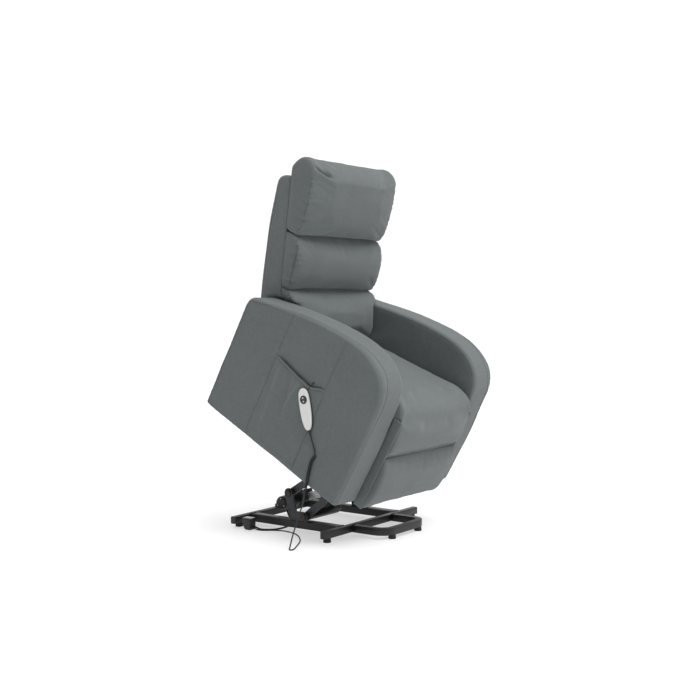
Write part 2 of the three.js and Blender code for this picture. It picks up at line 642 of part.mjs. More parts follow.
function footrest() {
  const group = new THREE.Group();
  const board = block([2 * (FOOTREST_HALF - 6), 16, 352], [0, -20, 158]);
  const end = SCISSOR_END;
  const bracketShape = polygon([[-13, end[1] - 45], [-13, end[1] + 45], [end[0] + 10, end[1] + 14],
    [end[0] + 14, end[1]], [end[0] + 10, end[1] - 14]]);
  const brackets = [-1, 1].map((side) =>
    plate(bracketShape, ...span(side, FOOT_BRACKET_X, FOOT_BRACKET_X + SCISSOR_THICK)));
  piece(group, 'footrest_board', join(board, ...brackets), plywood());

  const upper = new THREE.Shape();
  upper.moveTo(-28.5, 346);
  upper.bezierCurveTo(-52, 345, -54, 300, -56, 270);
  upper.bezierCurveTo(-58, 230, -56, 206, -28.5, 203);
  piece(group, 'footrest_upper_pad', plate(upper, -FOOTREST_HALF, FOOTREST_HALF, 6), fabric());

  const lower = new THREE.Shape();
  lower.moveTo(-28.5, 200);
  lower.bezierCurveTo(-60, 198, -68, 160, -70, 110);
  lower.bezierCurveTo(-71, 50, -68, -14, -28.5, -22);
  piece(group, 'footrest_lower_pad', plate(lower, -FOOTREST_HALF, FOOTREST_HALF, 6), fabric());

  for (const [label, side] of SIDES) {
    const long = linkShape(SCISSOR_PIVOT, SCISSOR_MIDDLE, SCISSOR_WIDTH, [SCISSOR_PIVOT]);
    const middleStud = bar(STUD_RADIUS - 2,
      ...span(side, SHORT_LINK_X - 2, LONG_LINK_X + 1), SCISSOR_MIDDLE);
    piece(group, `scissor_long_${label}`,
      join(plate(long, ...span(side, LONG_LINK_X, LONG_LINK_X + SCISSOR_THICK)), middleStud),
      zinc());
    const short = linkShape(SCISSOR_MIDDLE, SCISSOR_END, SCISSOR_WIDTH, [SCISSOR_MIDDLE]);
    piece(group, `scissor_short_${label}`,
      plate(short, ...span(side, SHORT_LINK_X, SHORT_LINK_X + SCISSOR_THICK)), zinc());
  }
  return group;
}

// ---- Junction box and cords --------------------------------------------------------------

const BOX_FACE = [-285, 276];          // x of its outer face, y of its front face

function junctionBox() {
  const [x, y] = BOX_FACE;
  const shape = new THREE.Shape();
  shape.moveTo(y, 0);
  shape.lineTo(y + 22, 0);
  shape.quadraticCurveTo(y + 36, 6, y + 40, 40);
  shape.lineTo(y, 40);
  return plate(shape, x, x + 34, 5);
}

const junctionCover = () => block([34, 41, 4], [BOX_FACE[0] + 17, BOX_FACE[1] + 20.2, 40 + GAP + 2]);

// Routes of the cords. The handset's lead hangs to the floor, lies in a loop and ends at the box.
const COIL_TOP = [-391, -119.2, 333];
const COIL_BOTTOM = [-393, -72.5, 185];
const HANDSET_LEAD = [[-391, -96.6, 418.2], [-391, -100.5, 400], [-391, -109.5, 372],
  [-391, -117.5, 350], [-391, -119.1, 342], COIL_TOP];
const COIL_ROUTE = [[-391, -119.2, 333 - GAP], [-391, -118.6, 327], [-391.5, -103, 306],
  [-392, -88.5, 257], [-393, -79, 210], [-393, -73.4, 191], COIL_BOTTOM];
const FLOOR_LEAD = [[-393, -72.5, 185 - GAP], [-393, -71.9, 177], [-395, -66, 148],
  [-402, -54, 108], [-416, -50, 70], [-431, -49, 38], [-447, -52, 8], [-458, -58, 2.6],
  [-463, -66, 2.6], [-455, -72, 2.6], [-438, -65, 2.6], [-405, -48, 2.6], [-368, -28, 2.6],
  [-328, -3, 2.6], [-297, 24, 2.6], [-264, 58, 2.6], [-239, 98, 2.6], [-228, 140, 2.6],
  [-231, 172, 2.6], [-244, 200, 2.6], [-262, 223, 2.6], [-275, 244, 4.5], [-277, 262, 9.4],
  [-277, 268, 10], [-277, 275.4, 10]];
const MOTOR_LEAD_ROUTE = [[-262, 275.4, 10], [-262, 268, 10], [-262, 260, 8.6],
  [-260, 244, 4.4], [-250, 222, 3.7], [-236, 204, 3.7], [-218, 194, 4], [-196, 188, 5],
  [-168, 188, 6], [-142, 193, 8], [-122, 206, 15], [-108, 224, 28], [-101, 239, 43],
  [-99, 244, 54]];

function cords() {
  const group = new THREE.Group();
  const routes = [['handset_lead', HANDSET_LEAD, LEAD, 8, 10], ['handset_coil', COIL_ROUTE, COIL, 10, 10],
    ['floor_lead', FLOOR_LEAD, LEAD, 8, 74], ['motor_lead', MOTOR_LEAD_ROUTE, MOTOR_LEAD, 8, 28]];
  for (const [name, route, diameter, sides, steps] of routes) {
    piece(group, name, cord(route, diameter, sides, steps), blackPlastic());
  }
  return group;
}

// ---- Assembly ----------------------------------------------------------------------------

const root = new THREE.Group();
root.add(baseFrame(), liftingLinks(), actuator(), handset(), cords());
piece(root, 'junction_box', junctionBox(), blackPlastic());
piece(root, 'junction_box_cover', junctionCover(), blackPlastic());

const chair = new THREE.Group();
chair.position.set(0, ...CHAIR_ORIGIN);
chair.rotation.x = TILT;
chair.add(chairFrame(), arms(), backrest(), footrest());
piece(chair, 'handset_hook', hook(), blackPlastic());
root.add(chair);

export default root;
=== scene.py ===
"""Looks of the lift recliner chair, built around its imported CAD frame.

Units are metres. The row frame is the CAD's: +Z up, the sitter faces -Y, the sitter's right is -X.
The chair is shown raised, so its upholstery is drawn in the chair's own level axes (x, u, v), where
u runs backwards and v runs up, and is then tipped forward with the chair.
"""

import math

import bmesh
import bpy
import numpy as np
from mathutils import Matrix, Vector
from mathutils.bvhtree import BVHTree


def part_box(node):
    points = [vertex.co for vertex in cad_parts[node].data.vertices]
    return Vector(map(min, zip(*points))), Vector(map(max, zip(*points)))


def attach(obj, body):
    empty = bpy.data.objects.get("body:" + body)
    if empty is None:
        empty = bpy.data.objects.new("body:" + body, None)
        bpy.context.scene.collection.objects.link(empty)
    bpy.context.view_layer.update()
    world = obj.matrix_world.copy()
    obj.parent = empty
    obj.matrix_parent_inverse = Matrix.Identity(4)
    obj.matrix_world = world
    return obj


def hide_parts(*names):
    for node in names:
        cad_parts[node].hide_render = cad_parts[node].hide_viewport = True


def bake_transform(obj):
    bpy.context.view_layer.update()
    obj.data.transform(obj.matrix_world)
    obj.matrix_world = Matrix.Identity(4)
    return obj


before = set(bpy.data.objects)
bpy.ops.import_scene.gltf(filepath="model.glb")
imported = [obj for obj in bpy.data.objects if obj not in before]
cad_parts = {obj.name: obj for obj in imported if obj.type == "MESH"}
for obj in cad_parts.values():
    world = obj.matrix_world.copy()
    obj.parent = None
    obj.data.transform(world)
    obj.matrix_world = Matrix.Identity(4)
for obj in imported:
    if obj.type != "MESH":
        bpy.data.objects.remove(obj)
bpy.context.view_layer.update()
scene = bpy.context.scene

# ---- Driving dimensions ------------------------------------------------------------------

MM = 0.001
TILT = math.radians(28.88)
CHAIR = Matrix.Translation((0, -0.188, 0.162)) @ Matrix.Rotation(TILT, 4, "X")

ARM_INNER = 0.2468
ARM_OUTER = 0.3834
SEAT_HALF = 0.2455
BACK_HALF = 0.270
BACK_NARROW = 0.2425
FOOTREST_HALF = 0.2425
HANDSET_X = -0.3837              # the handset's back face
HANDSET_TOP = (-0.069, 0.5655)   # y, z
HANDSET_BOTTOM = (-0.096, 0.4185)
BUTTONS_AT = 0.1086              # height of the round pair of buttons above its lower end
BUTTON_RADIUS = 0.0134
LINK_RADIUS = 0.014              # of the lifting links' round ends
LEAD = 0.005
COIL = 0.013
MOTOR_LEAD = 0.007
WEAVE = 0.0016                   # period of the upholstery's threads

SIDES = (("right", -1), ("left", 1))


def back_plane(v):
    """u of the cushions' rear faces at height v."""
    return 0.627 + 0.411 * (v - 0.476)


def chair_point(x, u, v):
    return CHAIR @ Vector((x, u, v))


# ---- Camera, floor and light -------------------------------------------------------------

def make_camera():
    data = bpy.data.cameras.new("camera")
    data.sensor_width = 36
    data.lens = 57.0
    camera = bpy.data.objects.new("camera", data)
    scene.collection.objects.link(camera)
    yaw, pitch = math.radians(54.057), math.radians(-2.529)
    forward = Vector((math.sin(yaw) * math.cos(pitch), math.cos(yaw) * math.cos(pitch), math.sin(pitch)))
    camera.location = (-3.4508, -2.4907, 0.8725)
    camera.rotation_euler = forward.to_track_quat("-Z", "Y").to_euler()
    scene.camera = camera


def area_light(name, location, target, size, power):
    data = bpy.data.lights.new(name, "AREA")
    data.shape = "DISK"
    data.size = size
    data.energy = power
    light = bpy.data.objects.new(name, data)
    light.location = location
    aim = Vector(target) - Vector(location)
    light.rotation_euler = aim.to_track_quat("-Z", "Y").to_euler()
    scene.collection.objects.link(light)


def make_studio():
    """A white room, bright behind the chair and above it, and dim behind the camera."""
    world = bpy.data.worlds.new("studio")
    world.use_nodes = True
    tree = world.node_tree
    way = node(tree, "ShaderNodeTexCoord").outputs["Generated"]
    ahead = vector_math(tree, "DOT_PRODUCT", way, (0.81, 0.587, 0.0))
    bright = node(tree, "ShaderNodeMapRange", {"Value": ahead, "From Min": 0.1, "From Max": 0.7,
                                               "To Min": 0.31, "To Max": 1.06})
    tree.links.new(bright.outputs["Result"], tree.nodes["Background"].inputs["Strength"])
    tree.nodes["Background"].inputs["Color"].default_value = (1, 1, 1, 1)
    scene.world = world
    scene.view_settings.view_transform = "Standard"

    bpy.ops.mesh.primitive_plane_add(size=40)
    floor = bpy.context.object
    floor.name = "floor"
    finish, _, shader = new_material("studio_floor")
    shader.inputs["Base Color"].default_value = (0.5, 0.5, 0.5, 1)
    shader.inputs["Emission Color"].default_value = (1, 1, 1, 1)
    shader.inputs["Emission Strength"].default_value = 0.52
    shader.inputs["Roughness"].default_value = 0.85
    floor.data.materials.append(finish)

    area_light("low_front", (0.9, -2.0, 0.27), (0, -0.3, 0.35), 0.5, 1.5)
    sky = bpy.data.lights.new("top", "SUN")
    sky.energy = 3.0
    sky.angle = math.radians(50)
    top = bpy.data.objects.new("top", sky)
    top.rotation_euler = (math.radians(24), 0, 0)
    scene.collection.objects.link(top)


# ---- Materials ---------------------------------------------------------------------------

def node(tree, kind, inputs=None, **settings):
    """Adds a shader node. An input is a value or the socket that feeds it."""
    made = tree.nodes.new(kind)
    for key, value in settings.items():
        setattr(made, key, value)
    for key, value in (inputs or {}).items():
        if isinstance(value, bpy.types.NodeSocket):
            tree.links.new(value, made.inputs[key])
        else:
            made.inputs[key].default_value = value
    return made


def new_material(name):
    finish = bpy.data.materials.new(name)
    finish.use_nodes = True
    tree = finish.node_tree
    tree.nodes.clear()
    shader = tree.nodes.new("ShaderNodeBsdfPrincipled")
    output = tree.nodes.new("ShaderNodeOutputMaterial")
    tree.links.new(shader.outputs["BSDF"], output.inputs["Surface"])
    return finish, tree, shader


def vector_math(tree, operation, a, b=None):
    inputs = {0: a} if b is None else {0: a, 1: b}
    made = node(tree, "ShaderNodeVectorMath", inputs, operation=operation)
    return made.outputs["Value" if operation == "DOT_PRODUCT" else "Vector"]


def arithmetic(tree, operation, a, b):
    return node(tree, "ShaderNodeMath", {0: a, 1: b}, operation=operation).outputs[0]


def multiply_add(tree, value, factor, offset):
    inputs = {0: value, 1: factor, 2: offset}
    return node(tree, "ShaderNodeMath", inputs, operation="MULTIPLY_ADD").outputs[0]


def attribute(tree, name):
    return node(tree, "ShaderNodeAttribute", attribute_name=name)


def noise(tree, vector, scale, detail=2.0, roughness=0.5):
    inputs = {"Vector": vector, "Scale": scale, "Detail": detail, "Roughness": roughness}
    return node(tree, "ShaderNodeTexNoise", inputs).outputs["Fac"]


def ramp(tree, value, stops):
    """A colour ramp with stops of (place, colour)."""
    made = node(tree, "ShaderNodeValToRGB", {"Fac": value})
    elements = made.color_ramp.elements
    elements[0].position, elements[0].color = stops[0][0], (*stops[0][1], 1)
    elements[1].position, elements[1].color = stops[-1][0], (*stops[-1][1], 1)
    for place, colour in stops[1:-1]:
        elements.new(place).color = (*colour, 1)
    return made.outputs["Color"]


def fabric_material(name, colour, weave=WEAVE):
    """Plain-weave upholstery cloth with slubs along both threads, drawn on the cloth's rest position.
    Its colour carries painted shade in the seams and folds.
    """
    finish, tree, shader = new_material(name)
    rest = attribute(tree, "rest").outputs["Vector"]
    facing = attribute(tree, "facing").outputs["Vector"]
    crease_shade = attribute(tree, "crease_shade").outputs["Fac"]

    waves = vector_math(tree, "SINE", vector_math(tree, "MULTIPLY", rest, (2 * math.pi / weave,) * 3))
    split = node(tree, "ShaderNodeSeparateXYZ", {0: waves}).outputs
    first = node(tree, "ShaderNodeCombineXYZ", {0: split[1], 1: split[0], 2: split[0]}).outputs[0]
    second = node(tree, "ShaderNodeCombineXYZ", {0: split[2], 1: split[2], 2: split[1]}).outputs[0]
    shares = vector_math(tree, "MULTIPLY", facing, facing)
    threads = vector_math(tree, "DOT_PRODUCT", vector_math(tree, "MULTIPLY", first, second), shares)

    across = noise(tree, vector_math(tree, "MULTIPLY", rest, (60, 620, 620)), 1.0, 3.0, 0.6)
    upright = noise(tree, vector_math(tree, "MULTIPLY", rest, (620, 620, 60)), 1.0, 3.0, 0.6)
    slub = arithmetic(tree, "ADD", across, upright)
    cloud = noise(tree, rest, 9.0, 3.0, 0.55)
    mottle = noise(tree, rest, 95.0, 2.0, 0.6)

    tone = multiply_add(tree, slub, 0.30, 0.70)
    tone = arithmetic(tree, "MULTIPLY", tone, multiply_add(tree, cloud, 0.16, 0.92))
    tone = arithmetic(tree, "MULTIPLY", tone, multiply_add(tree, mottle, 0.22, 0.89))
    # Painted shade: the cloth's colour is darkened where seams and folds were marked.
    tone = arithmetic(tree, "MULTIPLY", tone, multiply_add(tree, crease_shade, -0.62, 1.0))
    tinted = node(tree, "ShaderNodeVectorMath", {0: colour, "Scale": tone}, operation="SCALE")
    tree.links.new(tinted.outputs["Vector"], shader.inputs["Base Color"])

    height = multiply_add(tree, slub, 0.8, threads)
    bump = node(tree, "ShaderNodeBump", {"Strength": 0.45, "Distance": 0.0004, "Height": height})
    tree.links.new(bump.outputs["Normal"], shader.inputs["Normal"])
    shader.inputs["Roughness"].default_value = 0.92
    shader.inputs["Sheen Weight"].default_value = 0.22
    shader.inputs["Sheen Roughness"].default_value = 0.45
    shader.inputs["Specular IOR Level"].default_value = 0.25
    return finish


def rigid_material(name, colour, roughness, metallic=0.0, grain=0.0003, grain_scale=900,
                   wear=0.25, coat=0.0):
    """A coated or moulded finish: fine grain in the bump, slow variation in tone and roughness."""
    finish, tree, shader = new_material(name)
    place = node(tree, "ShaderNodeTexCoord").outputs["Object"]
    cloud = noise(tree, place, 14.0, 4.0, 0.6)
    fine = noise(tree, place, grain_scale, 2.0, 0.5)
    dark = tuple(c * (1 - wear) for c in colour)
    light = tuple(min(1.0, c * (1 + wear)) for c in colour)
    tree.links.new(ramp(tree, cloud, [(0.3, dark), (0.5, colour), (0.75, light)]),
                   shader.inputs["Base Color"])
    rough = node(tree, "ShaderNodeMapRange", {"Value": cloud, "From Min": 0.3, "From Max": 0.7,
                                              "To Min": roughness * 0.85, "To Max": min(1, roughness * 1.2)})
    tree.links.new(rough.outputs["Result"], shader.inputs["Roughness"])
    bump = node(tree, "ShaderNodeBump", {"Strength": 0.35, "Distance": grain, "Height": fine})
    tree.links.new(bump.outputs["Normal"], shader.inputs["Normal"])
    shader.inputs["Metallic"].default_value = metallic
    shader.inputs["Coat Weight"].default_value = coat
    return finish


def wood_material(name):
    """Plywood: long grain on the faces and thin plies on the edges, in dark tones that paint the shade
    inside the chair's frame.
    """
    finish, tree, shader = new_material(name)
    place = node(tree, "ShaderNodeTexCoord").outputs["Object"]
    turned = node(tree, "ShaderNodeMapping", {"Vector": place, "Rotation": (-TILT, 0, 0)}).outputs[0]
    stretched = vector_math(tree, "MULTIPLY", turned, (18, 1.6, 18))
    grain = noise(tree, stretched, 6.0, 6.0, 0.65)
    fibres = noise(tree, vector_math(tree, "MULTIPLY", turned, (260, 14, 260)), 1.0, 3.0, 0.6)
    both = arithmetic(tree, "MULTIPLY", grain, fibres)
    # Painted shade: the plywood's tones are kept dark to stand for the shade inside the frame.
    tone = ramp(tree, both, [(0.12, (0.13, 0.075, 0.036)), (0.25, (0.20, 0.125, 0.065)),
                             (0.42, (0.29, 0.19, 0.105))])
    tree.links.new(tone, shader.inputs["Base Color"])
    bump = node(tree, "ShaderNodeBump", {"Strength": 0.3, "Distance": 0.0004, "Height": fibres})
    tree.links.new(bump.outputs["Normal"], shader.inputs["Normal"])
    shader.inputs["Roughness"].default_value = 0.72
    return finish


FABRIC_COLOUR = (0.134, 0.150, 0.153)
MATERIALS = {}


def make_materials():
    MATERIALS.update({
        "fabric": fabric_material("upholstery_cloth", FABRIC_COLOUR),
        "thread": rigid_material("sewing_thread", (0.085, 0.094, 0.094), 0.8, grain_scale=2500),
        "black": rigid_material("black_powder_coat", (0.013, 0.0135, 0.014), 0.42, 0.15, wear=0.3),
        "grey": rigid_material("grey_powder_coat", (0.036, 0.040, 0.046), 0.45, 0.3, wear=0.3),
        "bronze": rigid_material("bronze_cap", (0.045, 0.028, 0.022), 0.42, 0.4, wear=0.35),
        "zinc": rigid_material("zinc_plate", (0.50, 0.51, 0.51), 0.36, 0.95, 0.0002, 500, 0.15),
        "plastic": rigid_material("black_plastic", (0.018, 0.0185, 0.019), 0.48, grain_scale=1500),
        "gloss": rigid_material("gloss_black_plastic", (0.012, 0.012, 0.013), 0.22, coat=0.3),
        "ivory": rigid_material("ivory_plastic", (0.74, 0.735, 0.715), 0.34, grain=0.0001,
                                wear=0.03, coat=0.15),
        "mark": rigid_material("button_mark", (0.70, 0.70, 0.68), 0.5, wear=0.04),
        "lead": rigid_material("lead_sheath", (0.014, 0.014, 0.015), 0.5, grain_scale=1200),
        "rubber": rigid_material("rubber", (0.016, 0.016, 0.016), 0.82, grain_scale=700),
        "wood": wood_material("plywood"),
    })


# ---- Mesh helpers ------------------------------------------------------------------------

def new_object(name, vertices, faces, finish=None):
    mesh = bpy.data.meshes.new(name)
    mesh.from_pydata([tuple(v) for v in vertices], [], faces)
    mesh.validate()
    made = bpy.data.objects.new(name, mesh)
    scene.collection.objects.link(made)
    if finish:
        mesh.materials.append(MATERIALS[finish])
    return made


def smooth(made, flag=True):
    made.data.polygons.foreach_set("use_smooth", [flag] * len(made.data.polygons))
    return made


def apply_modifiers(made):
    """Replaces the object's mesh by what its modifiers make of it."""
    graph = bpy.context.evaluated_depsgraph_get()
    mesh = bpy.data.meshes.new_from_object(made.evaluated_get(graph))
    old = made.data
    made.modifiers.clear()
    made.data = mesh
    bpy.data.meshes.remove(old)
    return made


def points_of(made):
    values = np.empty(len(made.data.vertices) * 3, np.float32)
    made.data.vertices.foreach_get("co", values)
    return values.reshape(-1, 3).astype(float)


def set_points(made, points):
    made.data.vertices.foreach_set("co", points.astype(np.float32).ravel())
    made.data.update()


def normals_of(made):
    values = np.empty(len(made.data.vertices) * 3, np.float32)
    made.data.vertex_normals.foreach_get("vector", values)
    return values.reshape(-1, 3).astype(float)


def outline(start, *steps, samples=10):
    """Points on (u, v). A step of two numbers is a straight line, and one of six a cubic curve."""
    points = [start]
    for step in steps:
        if len(step) == 2:
            points.append(step)
            continue
        p0, p1, p2, p3 = (np.array(p) for p in (points[-1], step[0:2], step[2:4], step[4:6]))
        for i in range(1, samples + 1):
            t = i / samples
            p = (1 - t) ** 3 * p0 + 3 * t * (1 - t) ** 2 * p1 + 3 * t * t * (1 - t) * p2 + t ** 3 * p3
            points.append(tuple(p))
    return points


def inset(points, distance):
    """A closed outline moved inwards by distance, with its corners cut short."""
    p = np.array(points, float)
    before, after = np.roll(p, 1, 0), np.roll(p, -1, 0)
    a, b = p - before, after - p
    a /= np.linalg.norm(a, axis=1)[:, None] + 1e-12
    b /= np.linalg.norm(b, axis=1)[:, None] + 1e-12
    area = np.sum(p[:, 0] * after[:, 1] - after[:, 0] * p[:, 1])
    turn = 1 if area > 0 else -1
    normal = turn * np.stack([-(a + b)[:, 1], (a + b)[:, 0]], 1)
    length = np.linalg.norm(normal, axis=1)[:, None]
    normal /= length
    stretch = np.clip(2 / np.maximum(length, 1e-6), 1, 1.4)
    return [tuple(q) for q in p + normal * distance * stretch]


def loft(name, full, side, half, rounding, x=0.0, rings=7):
    """A closed form on outline `full` at mid width, whose edges round off to outline `side`."""
    full, side = np.array(full), np.array(side)
    stations = []
    for i in range(rings):
        angle = (math.pi / 2) * i / (rings - 1)
        stations.append((half - rounding + rounding * math.sin(angle), math.cos(angle)))
    stations = [(-place, share) for place, share in reversed(stations)] + stations
    vertices, faces = [], []
    n = len(full)
    for place, share in stations:
        for u, v in side + (full - side) * share:
            vertices.append((x + place, u, v))
    for i in range(len(stations) - 1):
        for j in range(n):
            k = (j + 1) % n
            faces.append((i * n + j, (i + 1) * n + j, (i + 1) * n + k, i * n + k))
    faces.append(tuple(range(n)))
    last = (len(stations) - 1) * n
    faces.append(tuple(last + j for j in reversed(range(n))))
    made = new_object(name, vertices, faces)
    shell = bmesh.new()
    shell.from_mesh(made.data)
    bmesh.ops.triangulate(shell, faces=[f for f in shell.faces if len(f.verts) > 4])
    bmesh.ops.recalc_face_normals(shell, faces=shell.faces)
    shell.to_mesh(made.data)
    shell.free()
    return made


def relax(made, rounds):
    """Moves each point towards its neighbours' middle, a number of times."""
    soften = made.modifiers.new("soften", "SMOOTH")
    soften.factor = 0.5
    soften.iterations = rounds
    return apply_modifiers(made)


def remesh(made, voxel, rounds=6):
    """Gives an even mesh of squares `voxel` wide, then relaxes its steps."""
    grid = made.modifiers.new("grid", "REMESH")
    grid.mode = "VOXEL"
    grid.voxel_size = voxel
    return relax(made, rounds)


def subdivide(made, levels=1):
    modifier = made.modifiers.new("subdivision", "SUBSURF")
    modifier.levels = modifier.render_levels = levels
    return apply_modifiers(made)


def inflate(made, pinned, pressure=4.0, slack=0.0, cap=0.025, frames=20, calm=14):
    """Swells a closed cloth by simulation, then calms its small wrinkles. `pinned` marks the points
    sewn or glued to the frame."""
    before = points_of(made)
    group = made.vertex_groups.new(name="pinned")
    group.add([int(i) for i in np.nonzero(pinned)[0]], 1.0, "REPLACE")
    cloth = made.modifiers.new("cloth", "CLOTH")
    settings = cloth.settings
    settings.quality = 5
    settings.mass = 0.3
    settings.tension_stiffness = settings.compression_stiffness = 18
    settings.shear_stiffness = 6
    settings.bending_stiffness = 0.6
    settings.use_pressure = True
    settings.uniform_pressure_force = pressure
    settings.shrink_min = -slack
    settings.vertex_group_mass = "pinned"
    settings.effector_weights.gravity = 0
    cloth.point_cache.frame_start = 1
    cloth.point_cache.frame_end = frames
    for step in range(1, frames + 1):
        scene.frame_set(step)
    apply_modifiers(made)
    made.vertex_groups.clear()
    scene.frame_set(1)
    moved = points_of(made) - before
    distance = np.linalg.norm(moved, axis=1)[:, None]
    moved *= np.minimum(1.0, cap / np.maximum(distance, 1e-9))
    set_points(made, before + moved)
    return relax(made, calm)


def along(line, spacing):
    """A polyline's points at even spacing."""
    line = np.array(line, float)
    steps = np.linalg.norm(np.diff(line, axis=0), axis=1)
    places = np.concatenate([[0], np.cumsum(steps)])
    count = max(2, int(round(places[-1] / spacing)) + 1)
    wanted = np.linspace(0, places[-1], count)
    return np.stack([np.interp(wanted, places, line[:, i]) for i in range(line.shape[1])], 1)


def flowing(line, spacing, samples=12):
    """A smooth curve through a line's points, at even spacing."""
    p = np.array(line, float)
    padded = np.vstack([2 * p[0] - p[1], p, 2 * p[-1] - p[-2]])
    out = []
    for i in range(1, len(padded) - 2):
        a, b, c, d = padded[i - 1:i + 3]
        for t in np.arange(samples) / samples:
            out.append(0.5 * (2 * b + (c - a) * t + (2 * a - 5 * b + 4 * c - d) * t * t
                              + (3 * b - a - 3 * c + d) * t ** 3))
    out.append(p[-1])
    return along(out, spacing)


def nearest_on_line(all_points, line, margin=0.06):
    """Distance of each point to a polyline, and the place along it. Points further than `margin`
    from the line's box only get a large distance."""
    line = np.array(line, float)
    all_best = np.full(len(all_points), 1e9)
    all_place = np.zeros(len(all_points))
    close = np.all((all_points > line.min(0) - margin) & (all_points < line.max(0) + margin), axis=1)
    points = all_points[close]
    best = np.full(len(points), 1e9)
    place = np.zeros(len(points))
    start = 0.0
    for a, b in zip(line[:-1], line[1:]):
        edge = b - a
        length = np.linalg.norm(edge)
        t = np.clip(((points - a) @ edge) / (length * length + 1e-12), 0, 1)
        distance = np.linalg.norm(points - (a + t[:, None] * edge), axis=1)
        closer = distance < best
        best[closer] = distance[closer]
        place[closer] = start + t[closer] * length
        start += length
    all_best[close], all_place[close] = best, place
    return all_best, all_place


def ripple(place, wavelength, seed):
    """An uneven wave along a seam, about -1 to 1."""
    random = np.random.default_rng(seed)
    total = np.zeros_like(place)
    for share in (0.5, 0.8, 1.0, 1.4, 1.9):
        phase = random.uniform(0, 2 * math.pi)
        total += np.sin(2 * math.pi * place * share / wavelength + phase) / 2.6
    return total


def sink(made, line, depth, width, ends=0.0, pucker=0.0, wavelength=0.016, reach=0.02,
         seed=1, crease_shade=1.0):
    """Sinks a seam into a surface along a line. Puckers run out from it on both sides, and shade
    painted along the seam goes to an attribute that darkens the cloth."""
    points, normals = points_of(made), normals_of(made)
    distance, place = nearest_on_line(points, line)
    fade = np.ones(len(points))
    if ends:
        length = np.sum(np.linalg.norm(np.diff(np.array(line), axis=0), axis=1))
        fade = np.clip(place / ends, 0, 1) * np.clip((length - place) / ends, 0, 1)
        fade = fade * fade * (3 - 2 * fade)
    dip = depth * np.exp(-(distance / width) ** 2) * fade
    if pucker:
        wave = ripple(place, wavelength, seed) * np.exp(-distance / reach)
        wave *= 1 - np.exp(-(distance / (0.6 * width)) ** 2)
        dip = dip + pucker * wave * fade
    set_points(made, points - normals * dip[:, None])
    # Painted shade along the seam, strongest on its line.
    add_crease_shade(made, crease_shade * np.exp(-(distance / (0.55 * width)) ** 2) * fade)


# Each point keeps the strongest painted shade it is given.
def add_crease_shade(made, values):
    data = made.data.attributes.get("crease_shade")
    if data is None:
        data = made.data.attributes.new("crease_shade", "FLOAT", "POINT")
    old = np.zeros(len(values), np.float32)
    data.data.foreach_get("value", old)
    data.data.foreach_set("value", np.maximum(old, values).astype(np.float32))


def densify(made, lines, reach, times=1):
    """Splits the faces near the lines, so that a seam has the points it needs."""
    for _ in range(times):
        points = points_of(made)
        near = np.zeros(len(points), bool)
        for line in lines:
            near |= nearest_on_line(points, line)[0] < reach
        mesh = bmesh.new()
        mesh.from_mesh(made.data)
        edges = [e for e in mesh.edges if near[e.verts[0].index] and near[e.verts[1].index]]
        bmesh.ops.subdivide_edges(mesh, edges=edges, cuts=1, use_grid_fill=True, smooth=0.0)
        mesh.to_mesh(made.data)
        mesh.free()
    return made


def bumps(points, scale, seed):
    """Smooth random heights, about -1 to 1, from a few plane waves."""
    random = np.random.default_rng(seed)
    total = np.zeros(len(points))
    for _ in range(14):
        direction = random.normal(size=3)
        direction /= np.linalg.norm(direction)
        size = scale * random.uniform(0.6, 1.6)
        total += np.sin(points @ direction * 2 * math.pi / size + random.uniform(0, 2 * math.pi))
    return total / 5


def loosen(made, amount, scale, seed, mask=None):
    """Lets the cloth lie a little unevenly over its filling."""
    points, normals = points_of(made), normals_of(made)
    height = amount * bumps(points, scale, seed)
    if mask is not None:
        height *= mask(points)
    set_points(made, points + normals * height[:, None])


def dress(made, finish="fabric"):
    """Gives cloth its material and rest attributes, then tips it forward with the chair."""
    points, normals = points_of(made), normals_of(made)
    for name, values in (("rest", points), ("facing", normals)):
        data = made.data.attributes.new(name, "FLOAT_VECTOR", "POINT")
        data.data.foreach_set("vector", values.astype(np.float32).ravel())
    # Cloth with no seams gets an empty painted-shade attribute.
    if made.data.attributes.get("crease_shade") is None:
        made.data.attributes.new("crease_shade", "FLOAT", "POINT")
    made.data.materials.clear()
    made.data.materials.append(MATERIALS[finish])
    made.data.transform(CHAIR)
    return smooth(made)


def stand_for(made, body, slot, *nodes):
    """The piece rides on a body and stands for CAD nodes. The slot argument is not used."""
    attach(made, body)
    if nodes:
        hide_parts(*nodes)
    return made


def join_up(name, parts, finish=None):
    """Joins (vertices, faces) lists into one object."""
    vertices, faces = [], []
    for more_vertices, more_faces in parts:
        base = len(vertices)
        vertices.extend(more_vertices)
        faces.extend([tuple(base + i for i in face) for face in more_faces])
    return smooth(new_object(name, vertices, faces, finish))


def merge(name, objects):
    """Joins objects of one material into one."""
    parts = []
    for made in objects:
        parts.append(([tuple(v.co) for v in made.data.vertices],
                      [tuple(f.vertices) for f in made.data.polygons]))
    finishes = list(objects[0].data.materials)
    for made in objects:
        mesh = made.data
        bpy.data.objects.remove(made)
        bpy.data.meshes.remove(mesh)
    joined = join_up(name, parts)
    for finish in finishes:
        joined.data.materials.append(finish)
    return joined


